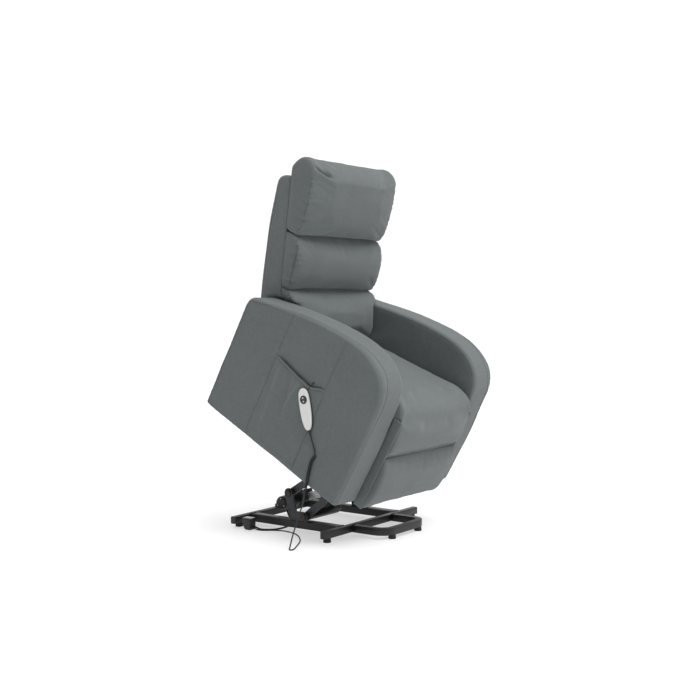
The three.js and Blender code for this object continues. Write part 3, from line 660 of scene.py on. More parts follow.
def stitching(name, made, lines, body, pitch=0.0055, length=0.0038, radius=0.00055):
    """Rows of thread stitches lying on a dressed surface. Lines are in the chair's axes."""
    points = points_of(made)
    tree = BVHTree.FromPolygons([tuple(p) for p in points],
                                [tuple(f.vertices) for f in made.data.polygons])
    parts = []
    for line in lines:
        route = along(line, pitch)
        for a, b in zip(route[:-1], route[1:]):
            middle = CHAIR @ Vector((a + b) / 2)
            heading = (CHAIR.to_3x3() @ Vector(b - a)).normalized()
            found = tree.find_nearest(middle)
            if found[0] is None:
                continue
            spot, normal = found[0], found[1]
            across = normal.cross(heading).normalized()
            rows = []
            for place, share in ((-0.5, 0.35), (-0.3, 1.0), (0.3, 1.0), (0.5, 0.35)):
                centre = spot + heading * (length * place) + normal * (radius * (2 * share - 1) * 0.7)
                for k in range(6):
                    angle = math.pi * k / 3
                    rows.append(centre + across * (radius * share * math.cos(angle))
                                + normal * (radius * share * math.sin(angle)))
            faces = [(6 * i + k, 6 * i + (k + 1) % 6, 6 * i + 6 + (k + 1) % 6, 6 * i + 6 + k)
                     for i in range(3) for k in range(6)]
            faces += [tuple(reversed(range(6))), tuple(range(18, 24))]
            parts.append((rows, faces))
    thread = join_up(name, parts, "thread")
    return stand_for(thread, body, "upholstery")


def frames_along(route):
    """Tangents and two cross directions along a route, turned as little as possible."""
    route = np.array(route, float)
    tangents = np.gradient(route, axis=0)
    tangents /= np.linalg.norm(tangents, axis=1)[:, None] + 1e-12
    normal = np.cross(tangents[0], (0.3, 0.9, 0.2))
    normal /= np.linalg.norm(normal)
    firsts = []
    for tangent in tangents:
        normal = normal - tangent * (normal @ tangent)
        normal /= np.linalg.norm(normal) + 1e-12
        firsts.append(normal)
    firsts = np.array(firsts)
    return tangents, firsts, np.cross(tangents, firsts)


def tube(name, route, radius, finish, sides=10, radii=None):
    """A closed round tube along a route."""
    route = np.array(route, float)
    _, first, second = frames_along(route)
    radii = np.full(len(route), radius) if radii is None else np.array(radii)
    vertices = []
    for i, centre in enumerate(route):
        for k in range(sides):
            angle = 2 * math.pi * k / sides
            vertices.append(centre + radii[i] * (first[i] * math.cos(angle) + second[i] * math.sin(angle)))
    faces = [(sides * i + k, sides * i + (k + 1) % sides, sides * (i + 1) + (k + 1) % sides,
              sides * (i + 1) + k) for i in range(len(route) - 1) for k in range(sides)]
    faces.append(tuple(reversed(range(sides))))
    last = sides * (len(route) - 1)
    faces.append(tuple(range(last, last + sides)))
    return smooth(new_object(name, vertices, faces, finish))


def lathe(name, profile, centre, axis, finish, sides=48):
    """A turned piece: profile of (radius, height) along an axis from a centre, closed at both ends."""
    axis = Vector(axis).normalized()
    turn = Vector((0, 0, 1)).rotation_difference(axis).to_matrix()
    vertices, faces = [], []
    for radius, height in profile:
        for k in range(sides):
            angle = 2 * math.pi * k / sides
            local = Vector((radius * math.cos(angle), radius * math.sin(angle), height))
            vertices.append(Vector(centre) + turn @ local)
    for i in range(len(profile) - 1):
        for k in range(sides):
            m = (k + 1) % sides
            faces.append((sides * i + k, sides * i + m, sides * (i + 1) + m, sides * (i + 1) + k))
    faces.append(tuple(reversed(range(sides))))
    last = sides * (len(profile) - 1)
    faces.append(tuple(range(last, last + sides)))
    made = new_object(name, vertices, faces, finish)
    return soften_edges(smooth(made), 0.0004, 2)


def soften_edges(made, width, segments=3, angle=32):
    """Rounds sharp edges with a bevel that is applied."""
    bevel = made.modifiers.new("edges", "BEVEL")
    bevel.width = width
    bevel.segments = segments
    bevel.limit_method = "ANGLE"
    bevel.angle_limit = math.radians(angle)
    bevel.harden_normals = True
    smooth(made)
    return apply_modifiers(made)


def plate_piece(name, points, x0, x1, finish, edge, segments=3):
    """A flat plate with its outline on (y, z), from x0 to x1, with rounded edges."""
    n = len(points)
    vertices = [(x0, y, z) for y, z in points] + [(x1, y, z) for y, z in points]
    faces = [tuple(range(n)), tuple(reversed(range(n, 2 * n)))]
    faces += [(i, n + i, n + (i + 1) % n, (i + 1) % n) for i in range(n)]
    made = new_object(name, vertices, faces, finish)
    shell = bmesh.new()
    shell.from_mesh(made.data)
    bmesh.ops.recalc_face_normals(shell, faces=shell.faces)
    shell.to_mesh(made.data)
    shell.free()
    return soften_edges(made, edge, segments)


def finish_node(name, finish, edge=0.0, segments=3):
    """Gives a CAD node its material and, by modifiers, rounded edges."""
    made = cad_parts[name]
    made.data.materials.clear()
    made.data.materials.append(MATERIALS[finish])
    weld = made.modifiers.new("weld", "WELD")
    weld.merge_threshold = 0.00002
    if edge:
        bevel = made.modifiers.new("edges", "BEVEL")
        bevel.width = edge
        bevel.segments = segments
        bevel.limit_method = "ANGLE"
        bevel.angle_limit = math.radians(32)
        bevel.harden_normals = True
        made.data.polygons.foreach_set("use_smooth", [True] * len(made.data.polygons))
    return made


# ---- Cords -------------------------------------------------------------------------------

HANDSET_LEAD = [(-391, -96.6, 418.2), (-391, -100.5, 400), (-391, -109.5, 372), (-391, -117.5, 350),
                (-391, -119.1, 342), (-391, -119.2, 333)]
COIL_ROUTE = [(-391, -119.2, 333), (-391, -118.6, 327), (-391.5, -103, 306), (-392, -88.5, 257),
              (-393, -79, 210), (-393, -73.4, 191), (-393, -72.5, 185)]
FLOOR_LEAD = [(-393, -72.5, 185), (-393, -71.9, 177), (-395, -66, 148), (-402, -54, 108),
              (-416, -50, 70), (-431, -49, 38), (-447, -52, 8), (-458, -58, 2.6),
              (-463, -66, 2.6), (-455, -72, 2.6), (-438, -65, 2.6), (-405, -48, 2.6),
              (-368, -28, 2.6), (-328, -3, 2.6), (-297, 24, 2.6), (-264, 58, 2.6),
              (-239, 98, 2.6), (-228, 140, 2.6), (-231, 172, 2.6), (-244, 200, 2.6),
              (-262, 223, 2.6), (-275, 244, 4.5), (-277, 262, 9.4), (-277, 268, 10),
              (-277, 275.4, 10)]
MOTOR_LEAD_ROUTE = [(-262, 275.4, 10), (-262, 268, 10), (-262, 260, 8.6), (-260, 244, 4.4),
                    (-250, 222, 3.7), (-236, 204, 3.7), (-218, 194, 4), (-196, 188, 5),
                    (-168, 188, 6), (-142, 193, 8), (-122, 206, 15), (-108, 224, 28),
                    (-101, 239, 43), (-99, 244, 54)]


def metres(route):
    return np.array(route, float) * MM


def path_length(route):
    return float(np.sum(np.linalg.norm(np.diff(np.array(route), axis=0), axis=1)))


def curly(route, pitch, radius, points_per_turn=16):
    """A helix round a route, whose turns grow from and return to its line over the first and last."""
    line = flowing(route, pitch / points_per_turn, 40)
    _, first, second = frames_along(line)
    place = np.linspace(0, path_length(line), len(line))
    ramp_up = np.clip(np.minimum(place, place[-1] - place) / (1.2 * pitch), 0, 1)
    swing = radius * ramp_up * ramp_up * (3 - 2 * ramp_up)
    angle = 2 * math.pi * place / pitch
    return line + swing[:, None] * (first * np.cos(angle)[:, None] + second * np.sin(angle)[:, None])


def make_cords():
    upper = flowing(metres(HANDSET_LEAD), 0.004)
    helix = curly(metres(COIL_ROUTE), 0.0057, (COIL - LEAD) / 2)
    lower = flowing(metres(FLOOR_LEAD), 0.005)
    route = np.vstack([upper[:-1], helix[:-1], lower])
    lead = tube("handset_curly_lead", route, LEAD / 2, "lead", sides=8)
    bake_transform(lead)
    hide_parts("handset_lead", "handset_coil", "floor_lead")

    motor_route = flowing(metres(MOTOR_LEAD_ROUTE), 0.006)
    motor = tube("motor_supply_lead", motor_route, MOTOR_LEAD / 2, "lead", sides=12)
    stand_for(motor, "base", "lead_black", "motor_lead")


# ---- The arms' outline, which the back's pieces also fit -----------------------------------

ARM_REAR = 0.684
ARM = outline((-0.008, -0.005), (ARM_REAR, -0.005), (ARM_REAR, 0.421),
              (ARM_REAR, 0.446, 0.674, 0.459, 0.652, 0.464),
              (0.500, 0.506, 0.330, 0.544, 0.200, 0.544), (0.110, 0.544, 0.006, 0.512, -0.003, 0.400),
              (-0.011, 0.214), samples=12)


def arm_top_line():
    """The u and v values along the arm's top edge, from its outline."""
    top = sorted((u, v) for u, v in ARM if v > 0.40)
    return [u for u, _ in top], [v for _, v in top]


def arm_top(u):
    return float(np.interp(u, *arm_top_line()))


# ---- Back cushions -----------------------------------------------------------------------

def on_side(points, x):
    """Side outline points (u, v) as points in the chair's axes at x."""
    return [(x, u, v) for u, v in points]


def between_arms(points, half, already=False):
    """Narrows a back piece of half width `half` to fit between the arms, wherever it is below their
    tops. A piece narrowed `already` is only held to that width."""
    u, v = points[:, 1], points[:, 2]
    tops = np.interp(u, *arm_top_line()) - 0.001
    limit = np.interp(u, (ARM_REAR + 0.006, ARM_REAR + 0.016), (0.0, 1.0))
    limit = tops + (0.41 - tops) * limit
    share = np.clip((v - limit) / 0.007, 0, 1)
    width = BACK_NARROW + 0.0015 + (half - BACK_NARROW) * share * share * (3 - 2 * share)
    held = points.copy()
    if already:
        held[:, 0] = np.clip(points[:, 0], -width - 0.002, width + 0.002)
    else:
        held[:, 0] *= width / half
    return held


def cushion_rear(v):
    """u of a back cushion's rear face, just inside the outer back's rim."""
    return back_plane(v) + 0.006


def back_cushions():
    rear = cushion_rear
    head_full = outline((rear(0.711), 0.711), (rear(0.926), 0.926),
                        (0.812, 0.954, 0.800, 0.982, 0.774, 0.985),
                        (0.734, 0.986, 0.708, 0.968, 0.700, 0.938),
                        (0.681, 0.880, 0.667, 0.832, 0.661, 0.783),
                        (0.657, 0.750, 0.658, 0.722, 0.672, 0.709))
    head_side = outline((rear(0.711), 0.711), (rear(0.922), 0.922),
                        (0.806, 0.946, 0.796, 0.974, 0.773, 0.978),
                        (0.745, 0.979, 0.722, 0.964, 0.711, 0.935),
                        (0.695, 0.884, 0.681, 0.830, 0.673, 0.785),
                        (0.669, 0.758, 0.669, 0.736, 0.682, 0.718))
    middle_full = outline((rear(0.516), 0.516), (rear(0.709), 0.709), (0.674, 0.706),
                          (0.634, 0.696, 0.616, 0.642, 0.608, 0.592),
                          (0.602, 0.556, 0.602, 0.532, 0.614, 0.518))
    middle_side = outline((rear(0.516), 0.516), (rear(0.709), 0.709), (0.684, 0.715),
                          (0.650, 0.704, 0.628, 0.650, 0.620, 0.600),
                          (0.614, 0.566, 0.611, 0.540, 0.620, 0.520))
    lower_full = outline((rear(0.360), 0.360), (rear(0.518), 0.518), (0.606, 0.517),
                         (0.573, 0.512, 0.544, 0.480, 0.528, 0.441),
                         (0.513, 0.411, 0.503, 0.387, 0.503, 0.363))
    lower_side = outline((rear(0.362), 0.362), (rear(0.517), 0.517), (0.616, 0.516),
                         (0.587, 0.510, 0.558, 0.480, 0.543, 0.446),
                         (0.529, 0.416, 0.519, 0.392, 0.518, 0.368))
    seam_head = [(0.707, 0.934), (0.690, 0.868), (0.677, 0.810), (0.671, 0.770), (0.672, 0.745),
                 (0.678, 0.722)]
    seam_middle = [(0.664, 0.704), (0.654, 0.690), (0.641, 0.655), (0.631, 0.612), (0.622, 0.566),
                   (0.616, 0.540), (0.612, 0.526)]
    seam_lower = [(0.612, 0.511), (0.592, 0.500), (0.565, 0.476), (0.547, 0.446)]
    recipes = (("head", head_full, head_side, seam_head, BACK_HALF + 0.002),
               ("middle", middle_full, middle_side, seam_middle, BACK_HALF + 0.002),
               ("lower", lower_full, lower_side, seam_lower, BACK_HALF + 0.002))
    for place, full, side, seam, half in recipes:
        made = loft(f"cushion_{place}", full, side, half, 0.034)
        remesh(made, 0.0055, 5)
        points = between_arms(points_of(made), half)
        set_points(made, points)
        seams = [between_arms(flowing(on_side(seam, x), 0.006), half) for x in (-half, half)]
        sewn = np.minimum(*(nearest_on_line(points, line)[0] for line in seams)) < 0.0055
        behind = points[:, 1] > back_plane(points[:, 2]) - 0.008
        inflate(made, sewn | behind, pressure=4.0, slack=0.004, cap=0.014)
        keep_clear(made, half + 0.004)
        set_points(made, between_arms(points_of(made), half, already=True))
        subdivide(made)
        densify(made, seams, 0.009)
        # The seams sink, with painted shade along them.
        for i, line in enumerate(seams):
            sink(made, line, 0.0020, 0.0034, pucker=0.0021, wavelength=0.017, reach=0.018,
                 seed=11 + i, crease_shade=0.6)
        if place == "head":
            corner_folds(made, half)
        loosen(made, 0.0010, 0.12, 5)
        dress(made)
        stand_for(made, "backrest", "upholstery", f"back_cushion_{place}")
        stitching(f"stitching_{place}", made, seams, "backrest")


def corner_folds(made, half):
    """The fold that gathers the head cushion's cloth at each top corner."""
    for x, depth in ((-half, 0.010), (half, 0.002)):
        sign = math.copysign(1, x)
        fold = flowing([(x, 0.722, 0.970), (x - sign * 0.030, 0.712, 0.964),
                        (x - sign * 0.072, 0.704, 0.951), (x - sign * 0.112, 0.698, 0.935)], 0.004)
        # The fold's painted shade grows with its depth.
        sink(made, fold, depth, 0.0075, ends=0.03, crease_shade=0.07 * depth / MM)
        ridge = [(px, u + 0.004, v + 0.017) for px, u, v in fold]
        sink(made, ridge, -0.4 * depth, 0.010, ends=0.03, crease_shade=0.0)


# ---- Seat, front pads and footrest -------------------------------------------------------

def seat_and_pads():
    full = outline((0.528, 0.2505), (0.528, 0.338), (0.400, 0.374, 0.230, 0.386, 0.060, 0.404),
                   (0.004, 0.412, -0.034, 0.396, -0.037, 0.352),
                   (-0.044, 0.306, -0.046, 0.284, -0.048, 0.262),
                   (-0.050, 0.234, -0.048, 0.212, -0.029, 0.2055), (-0.029, 0.347),
                   (-0.006, 0.345), (0.036, 0.2505))
    side = inset(full, 0.006)
    seat = loft("seat_and_front_pad", full, side, SEAT_HALF - 0.001, 0.014)
    remesh(seat, 0.0068, 4)
    points = points_of(seat)
    under = (points[:, 2] < 0.256) & (points[:, 1] > 0.02)
    board = (points[:, 1] > -0.0315) & (points[:, 1] < 0.02) & (points[:, 2] < 0.352)
    hem = points[:, 2] < 0.213
    inflate(seat, under | board | hem, pressure=4.0, slack=0.0, cap=0.010)
    keep_clear(seat, SEAT_HALF)
    subdivide(seat)
    loosen(seat, 0.0014, 0.16, 8)
    dress(seat)
    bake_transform(seat)
    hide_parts("seat_cushion", "footrest_upper_pad")

    full = outline((-0.029, 0.1985), (-0.054, 0.1985, -0.060, 0.160, -0.062, 0.110),
                   (-0.063, 0.055, -0.060, -0.010, -0.029, -0.019))
    side = inset(full, 0.005)
    pad = loft("front_pad_lower", full, side, FOOTREST_HALF + 0.002, 0.014)
    remesh(pad, 0.006, 4)
    points = points_of(pad)
    inflate(pad, points[:, 1] > -0.033, pressure=4.0, slack=0.008, cap=0.008)
    subdivide(pad)
    points = points_of(pad)
    sag = np.clip((0.07 - points[:, 2]) / 0.09, 0, 1) ** 2
    points[:, 2] -= 0.0018 * sag * (1 + ripple(points[:, 0] + 0.3, 0.13, 4))
    set_points(pad, points)
    loosen(pad, 0.0012, 0.12, 12)
    dress(pad)
    stand_for(pad, "footrest", "upholstery", "footrest_lower_pad")
    footrest_cover()


def footrest_cover():
    """The cloth stapled over the footrest's board, which turns back along the board's ends."""
    foot, front, rear, top = -0.0186, -0.0312, -0.0106, 0.3352
    flap_front, flap_rear, flap_top, flap_half = -0.0370, 0.0015, 0.347, 0.004
    board = outline((front, foot), (rear, foot), (rear, top), (front, top))
    flap = outline((flap_front, foot), (flap_rear, foot), (flap_rear, flap_top), (flap_front, flap_top))
    half = FOOTREST_HALF + 0.0015
    parts = [loft("cover", board, inset(board, 0.002), half, 0.003)]
    for _, sign in SIDES:
        parts.append(loft("flap", flap, inset(flap, 0.001), flap_half, 0.002, sign * (half - flap_half)))
    cover = merge("footrest_cover", parts)
    remesh(cover, 0.0030, 2)
    loosen(cover, 0.0004, 0.09, 71)
    dress(cover)
    stand_for(cover, "footrest", "upholstery")


def keep_clear(made, half):
    """Keeps a cushion's sides inside the width it has between the arms."""
    points = points_of(made)
    points[:, 0] = np.clip(points[:, 0], -half, half)
    set_points(made, points)


# ---- Arms and pocket ---------------------------------------------------------------------

ARM_ROUND = 0.011
REAR_SEAM_U = 0.459
FRONT_SEAM_U = 0.2125
MOUTH = [(0.216, 0.337), (0.236, 0.333), (0.258, 0.322), (0.282, 0.315), (0.320, 0.318),
         (0.380, 0.326), (0.430, 0.333), (0.462, 0.337)]




def band_seam(outer, sign):
    """The seam between the side panel and the band, which wanders onto the band towards the front."""
    seam = []
    for (u, v), (near_u, near_v) in zip(ARM, inset(ARM, 0.0125)):
        if v > 0.40:
            onto = np.interp(u, (0.0, 0.05, 0.12, 0.22, 0.36, 0.50, 0.60),
                             (0.030, 0.043, 0.032, 0.0155, 0.0115, 0.005, 0.0))
        elif u < 0.05:
            onto = np.interp(v, (0.0, 0.30, 0.40), (0.0134, 0.0134, 0.030))
        else:
            onto = 0.0
        share = max(0.0, 1 - onto / ARM_ROUND)
        seam.append((outer - sign * onto, u + (near_u - u) * share, v + (near_v - v) * share))
    return along(seam + seam[:1], 0.008)


def arms():
    half = (ARM_OUTER - ARM_INNER) / 2
    for label, sign in SIDES:
        centre = sign * (ARM_INNER + half)
        made = loft(f"upholstered_arm_{label}", ARM, inset(ARM, ARM_ROUND), half - 0.0005, ARM_ROUND, centre)
        remesh(made, 0.0075, 3)
        outer = sign * ARM_OUTER
        near_edge = inset(ARM, 0.0135)
        welt = band_seam(outer, sign)
        inner = [(sign * (ARM_INNER + 0.003), u, v) for u, v in near_edge + near_edge[:1]]
        uprights = [[(outer, u - 0.0035, 0.012), (outer, u + 0.0035, arm_top(u) - 0.014)]
                    for u in (FRONT_SEAM_U, REAR_SEAM_U)]
        crown_sides(made, sign)
        subdivide(made)
        densify(made, [welt, *uprights], 0.010)
        # The welt, the inner edge and the upright seams sink, with painted shade along them.
        sink(made, welt, 0.0013, 0.0032, pucker=0.0004, wavelength=0.03, reach=0.02, seed=21, crease_shade=0.45)
        sink(made, inner, 0.0015, 0.0035, seed=22, crease_shade=0.4)
        for i, line in enumerate(uprights):
            sink(made, line, 0.0012, 0.0030, pucker=0.0006, wavelength=0.035, reach=0.03, seed=31 + i,
                 crease_shade=0.35)
        loosen(made, 0.0011, 0.16, 41, lambda p: np.clip((np.abs(p[:, 0]) - 0.33) / 0.04, 0.3, 1))
        dress(made)
        stand_for(made, "lift_frame", "upholstery", f"arm_{label}")
        stitching(f"stitching_arm_{label}", made, [shifted(welt, centre), *map(beside, uprights)],
                  "lift_frame")


def shifted(line, centre):
    """A row of stitches 4 mm inside the welt."""
    middle = np.array([centre, 0.32, 0.26])
    flat = np.array(line) - middle
    flat[:, 1:] *= 1 - 0.0045 / np.maximum(np.linalg.norm(flat[:, 1:], axis=1), 0.05)[:, None]
    return flat + middle


def beside(line):
    """A row of stitches 4 mm behind an upright seam."""
    return np.array(line) + np.array([0, 0.004, 0])


def crown_sides(made, sign):
    """Crowns the outer side panel slightly, and on the right side hollows it behind the pocket."""
    points = points_of(made)
    out = sign * points[:, 0] > ARM_OUTER - 0.006
    u, v = points[:, 1], points[:, 2]
    top = np.array([arm_top(p) for p in u])
    crown = np.clip(np.minimum.reduce([u + 0.005, 0.678 - u, v, top - v]) / 0.12, 0, 1)
    points[out, 0] += sign * (0.0015 + 0.0012 * np.sin(crown * math.pi / 2))[out]
    if sign < 0:
        across = np.clip((u - FRONT_SEAM_U) / 0.04, 0, 1) * np.clip((REAR_SEAM_U - u) / 0.04, 0, 1)
        mouth = np.interp(u, [p for p, _ in MOUTH], [q for _, q in MOUTH])
        above = np.clip(1 - (v - mouth) / 0.045, 0, 1)
        below = np.clip((v - 0.05) / 0.06, 0, 1)
        hollow = 0.0060 * across * np.where(v > mouth, above ** 2, 1) * below
        points[out, 0] += hollow[out]
    set_points(made, points)


# Soft folds of the pocket: top and bottom (u, v), height, half widths at top and bottom.
POCKET_FOLDS = (((0.422, 0.292), (0.401, 0.071), 0.0105, 0.011, 0.017),
                ((0.372, 0.297), (0.326, 0.072), -0.0070, 0.013, 0.019),
                ((0.326, 0.267), (0.3425, 0.147), 0.0085, 0.009, 0.014),
                ((0.262, 0.322), (0.268, 0.170), -0.0030, 0.010, 0.024))


def pocket_fold(u, v):
    """How far the pocket's cloth stands out at (u, v) because of its folds."""
    total = 0.0
    for (top_u, top_v), (foot_u, foot_v), height, top_wide, foot_wide in POCKET_FOLDS:
        down = (top_v - v) / (top_v - foot_v)
        inside = min(max(down, 0.0), 1.0)
        wide = top_wide + (foot_wide - top_wide) * inside
        beyond = (down - inside) * (top_v - foot_v)
        middle = top_u + (foot_u - top_u) * inside
        total += height * (1 - 0.45 * inside) * math.exp(-((u - middle) / wide) ** 2 - (beyond / 0.03) ** 2)
    return total


def pocket():
    """The pocket's front: a loose panel of cloth that the handset's hook pulls down at its mouth."""
    mouth = flowing(MOUTH, 0.003)
    columns, rows = 110, 120
    floor_v = 0.030
    vertices = []
    us = np.linspace(FRONT_SEAM_U + 0.0015, REAR_SEAM_U - 0.0015, columns)
    tops = np.interp(us, mouth[:, 0], mouth[:, 1])
    for j in range(rows + 1):
        t = j / rows
        for u, top in zip(us, tops):
            v = floor_v + (top - floor_v) * t
            across = math.sin(math.pi * (u - us[0]) / (us[-1] - us[0])) ** 0.7
            rise = max(0.0, (v - floor_v) / (top - floor_v))
            bulge = 0.0045 * across * rise ** 1.2
            gathers = 0.0011 * math.sin(2 * math.pi * u / 0.009) * math.exp(-((top - v - 0.012) / 0.012) ** 2)
            gathers *= math.exp(-((u - 0.375) / 0.035) ** 2)
            edge = math.exp(-((top - v) / 0.006) ** 2)
            x = ARM_OUTER + 0.0016 + bulge + across * (pocket_fold(u, v) + gathers) + 0.0012 * edge
            vertices.append((-x, u, v))
    faces = []
    for j in range(rows):
        for i in range(columns - 1):
            a = j * columns + i
            faces.append((a, a + 1, a + columns + 1, a + columns))
    made = new_object("pocket_front", vertices, faces)
    thick = made.modifiers.new("cloth_thickness", "SOLIDIFY")
    thick.thickness = 0.0018
    thick.offset = 0
    apply_modifiers(made)
    hem = [(-ARM_OUTER - 0.006, u, v - 0.011) for u, v in zip(us, tops)]
    # The hem sinks, with painted shade along it.
    sink(made, along(hem, 0.005), 0.0009, 0.0035, crease_shade=0.5)
    loosen(made, 0.0007, 0.05, 51)
    dress(made)
    stand_for(made, "lift_frame", "upholstery", "side_pocket")
    stitching("stitching_pocket", made, [along(hem, 0.005)], "lift_frame")


# ---- Outer back --------------------------------------------------------------------------

def outer_back():
    """The upholstered tray behind the cushions, narrower between the arms, open in front and below."""
    full = outline((back_plane(0.275) + 0.001, 0.275), (0.658, 0.275), (0.724, 0.432),
                   (0.785, 0.580, 0.832, 0.737, 0.856, 0.842),
                   (0.861, 0.874, 0.838, 0.889, back_plane(0.891) + 0.001, 0.891))
    side = inset(full, 0.011)
    made = loft("outer_back", full, side, BACK_HALF - 0.001, 0.015)
    remesh(made, 0.007, 3)
    points = points_of(made)
    behind = points[:, 1] > back_plane(points[:, 2]) + 0.04
    middle = np.clip(1 - (points[:, 0] / 0.25) ** 2, 0, 1) * np.clip((points[:, 2] - 0.30) / 0.15, 0, 1)
    normals = normals_of(made)
    crown = 0.004 * middle * np.clip(normals[:, 1], 0, 1) * behind
    points += normals * crown[:, None]
    set_points(made, between_arms(points, BACK_HALF))
    subdivide(made)

    seams = []
    for _, sign in SIDES:
        edge = [(sign * 0.2665, 0.735, 0.502), (sign * 0.2665, 0.770, 0.595), (sign * 0.2665, 0.800, 0.690),
                (sign * 0.2665, 0.826, 0.785), (sign * 0.2665, 0.838, 0.845)]
        seams.append(flowing(edge, 0.006))
    densify(made, seams, 0.010)
    # The seams sink, with full painted shade along them.
    for i, line in enumerate(seams):
        sink(made, line, 0.0022, 0.0042, ends=0.02, seed=61 + i)
    loosen(made, 0.0010, 0.17, 63)

    shell = bmesh.new()
    shell.from_mesh(made.data)
    shell.faces.ensure_lookup_table()
    open_faces = []
    for face in shell.faces:
        centre = face.calc_center_median()
        in_front = centre.y < back_plane(centre.z) + 0.005 and face.normal.y < -0.5
        below = centre.z < 0.281 and face.normal.z < -0.5
        if in_front or below:
            open_faces.append(face)
    bmesh.ops.delete(shell, geom=open_faces, context="FACES")
    shell.to_mesh(made.data)
    shell.free()
    thick = made.modifiers.new("board_and_cloth", "SOLIDIFY")
    thick.thickness = 0.012
    thick.offset = -1
    apply_modifiers(made)
    dress(made)
    stand_for(made, "backrest", "upholstery", "back_shell")
    stitching("stitching_outer_back", made, seams, "backrest")


# ---- Handset -----------------------------------------------------------------------------

def handset_frame():
    """The handset's own axes: origin at the foot of its back face, Z along it and -X out of its face."""
    dy, dz = HANDSET_TOP[0] - HANDSET_BOTTOM[0], HANDSET_TOP[1] - HANDSET_BOTTOM[1]
    turn = Matrix.Rotation(math.atan2(dz, dy) - math.pi / 2, 4, "X")
    return Matrix.Translation((HANDSET_X, *HANDSET_BOTTOM)) @ turn, math.hypot(dy, dz)


def handset():
    place, length = handset_frame()
    shape = outline((-0.005, 0.0), (-0.015, 0.005, -0.020, 0.026, -0.022, 0.050),
                    (-0.024, 0.076, -0.024, 0.100, -0.022, length - 0.028),
                    (-0.019, length - 0.006, -0.009, length, 0.0, length),
                    (0.009, length, 0.019, length - 0.006, 0.022, length - 0.028),
                    (0.024, 0.100, 0.024, 0.076, 0.022, 0.050),
                    (0.020, 0.026, 0.015, 0.005, 0.005, 0.0), samples=16)
    slim = inset(shape, 0.0006)
    back = plate_piece("handset_rear_shell", slim, -0.0079, -0.0002, "plastic", 0.0028, 4)
    front = plate_piece("handset_face", shape, -0.0165, -0.0083, "ivory", 0.0034, 5)
    line = plate_piece("handset_joint_line", inset(shape, 0.0016), -0.0084, -0.0078, "gloss", 0.0001, 1)
    centre = (-0.0165, 0.0, BUTTONS_AT)
    ring_at = BUTTON_RADIUS + 0.0004
    ring = lathe("button_ring", [(ring_at, -0.0016), (ring_at + 0.0014, -0.0016), (ring_at + 0.0015, 0.0006),
                                 (ring_at + 0.0009, 0.0010), (ring_at, 0.0002)], centre, (-1, 0, 0), "gloss")
    well = lathe("button_well", [(ring_at + 0.0006, -0.0035), (ring_at + 0.0006, 0.0001)], centre,
                 (-1, 0, 0), "gloss")
    for made, node_name in ((back, "handset_back"), (front, "handset_front"), (line, None), (ring, None),
                            (well, None)):
        made.data.transform(place)
        slot = "ivory_plastic" if made is front else "black_plastic"
        stand_for(made, "lift_frame", slot, *([node_name] if node_name else []))

    for label, up in (("up", 1), ("down", -1)):
        half = [(BUTTON_RADIUS * math.cos(a), BUTTONS_AT + up * (0.0005 + BUTTON_RADIUS * math.sin(a)))
                for a in np.linspace(0.04, math.pi - 0.04, 28)]
        button = plate_piece(f"handset_button_{label}", half, -0.0184, -0.0160, "gloss", 0.0009, 3)
        tip, base, foot = (BUTTONS_AT + up * height for height in (0.0098, 0.0055, 0.0032))
        arrow = [(0.0, tip), (0.0038, base), (0.0013, base), (0.0013, foot), (-0.0013, foot),
                 (-0.0013, base), (-0.0038, base)]
        mark = plate_piece(f"button_arrow_{label}", arrow, -0.0187, -0.0182, "mark", 0.0001, 1)
        for made, slot in ((button, "black_plastic"), (mark, "ivory_plastic")):
            made.data.transform(place)
            stand_for(made, f"button_{label}", slot, *([f"button_{label}"] if made is button else []))

    relief = lathe("handset_strain_relief", [(0.0045, 0.0), (0.0050, 0.002), (0.0040, 0.008),
                                             (0.0033, 0.016), (0.0027, 0.022)],
                   (-0.0079, 0, 0.001), (0, 0, -1), "lead", 24)
    relief.data.transform(place)
    stand_for(relief, "lift_frame", "lead_black")
    hook()


def hook():
    """The bent clip on the handset's back that holds the pocket's mouth."""
    finish_node("handset_hook", "plastic", 0.0012, 2)
    route = [chair_point(-0.3795, 0.268, 0.338), chair_point(-0.3845, 0.270, 0.336),
             chair_point(-0.3880, 0.274, 0.326), Vector((-0.3868, -0.078, 0.550))]
    strap = tube("handset_clip", flowing(route, 0.003), 0.0020, "plastic", 8)
    stand_for(strap, "lift_frame", "black_plastic")


# ---- Base frame and mechanism ------------------------------------------------------------

def bead(name, a, b, radius=0.0023, seed=1):
    """A weld bead from a to b, with the ripple of its run."""
    route = along([a, b], 0.0016)
    random = np.random.default_rng(seed)
    place = np.arange(len(route))
    radii = radius * (1 + 0.14 * np.sin(place * 2.1) + 0.06 * random.normal(size=len(route)))
    radii[0] = radii[-1] = radius * 0.4
    return tube(name, route, radius, "black", 8, radii)


# Distances from the middle plane, heights and sizes on the base, in metres.
RISER_FACE = 0.1965           # inner face of each riser plate
CAP_RIM = 0.2035              # rim of each pivot cap, 1 mm outside the riser's outer face
PIN_BOSS_END = 0.1960         # outer end of the boss at a link's upper pin
REAR_BAR_Y = 0.3605
TUBE_Z = 0.0285               # middle of the base's cross tubes
TUBE_END = (0.024, 0.027)     # width and height of a plug in a tube's end
PLUG_CORNER = 0.0025
PLUG_INSIDE, PLUG_PROUD = 0.0005, 0.0028


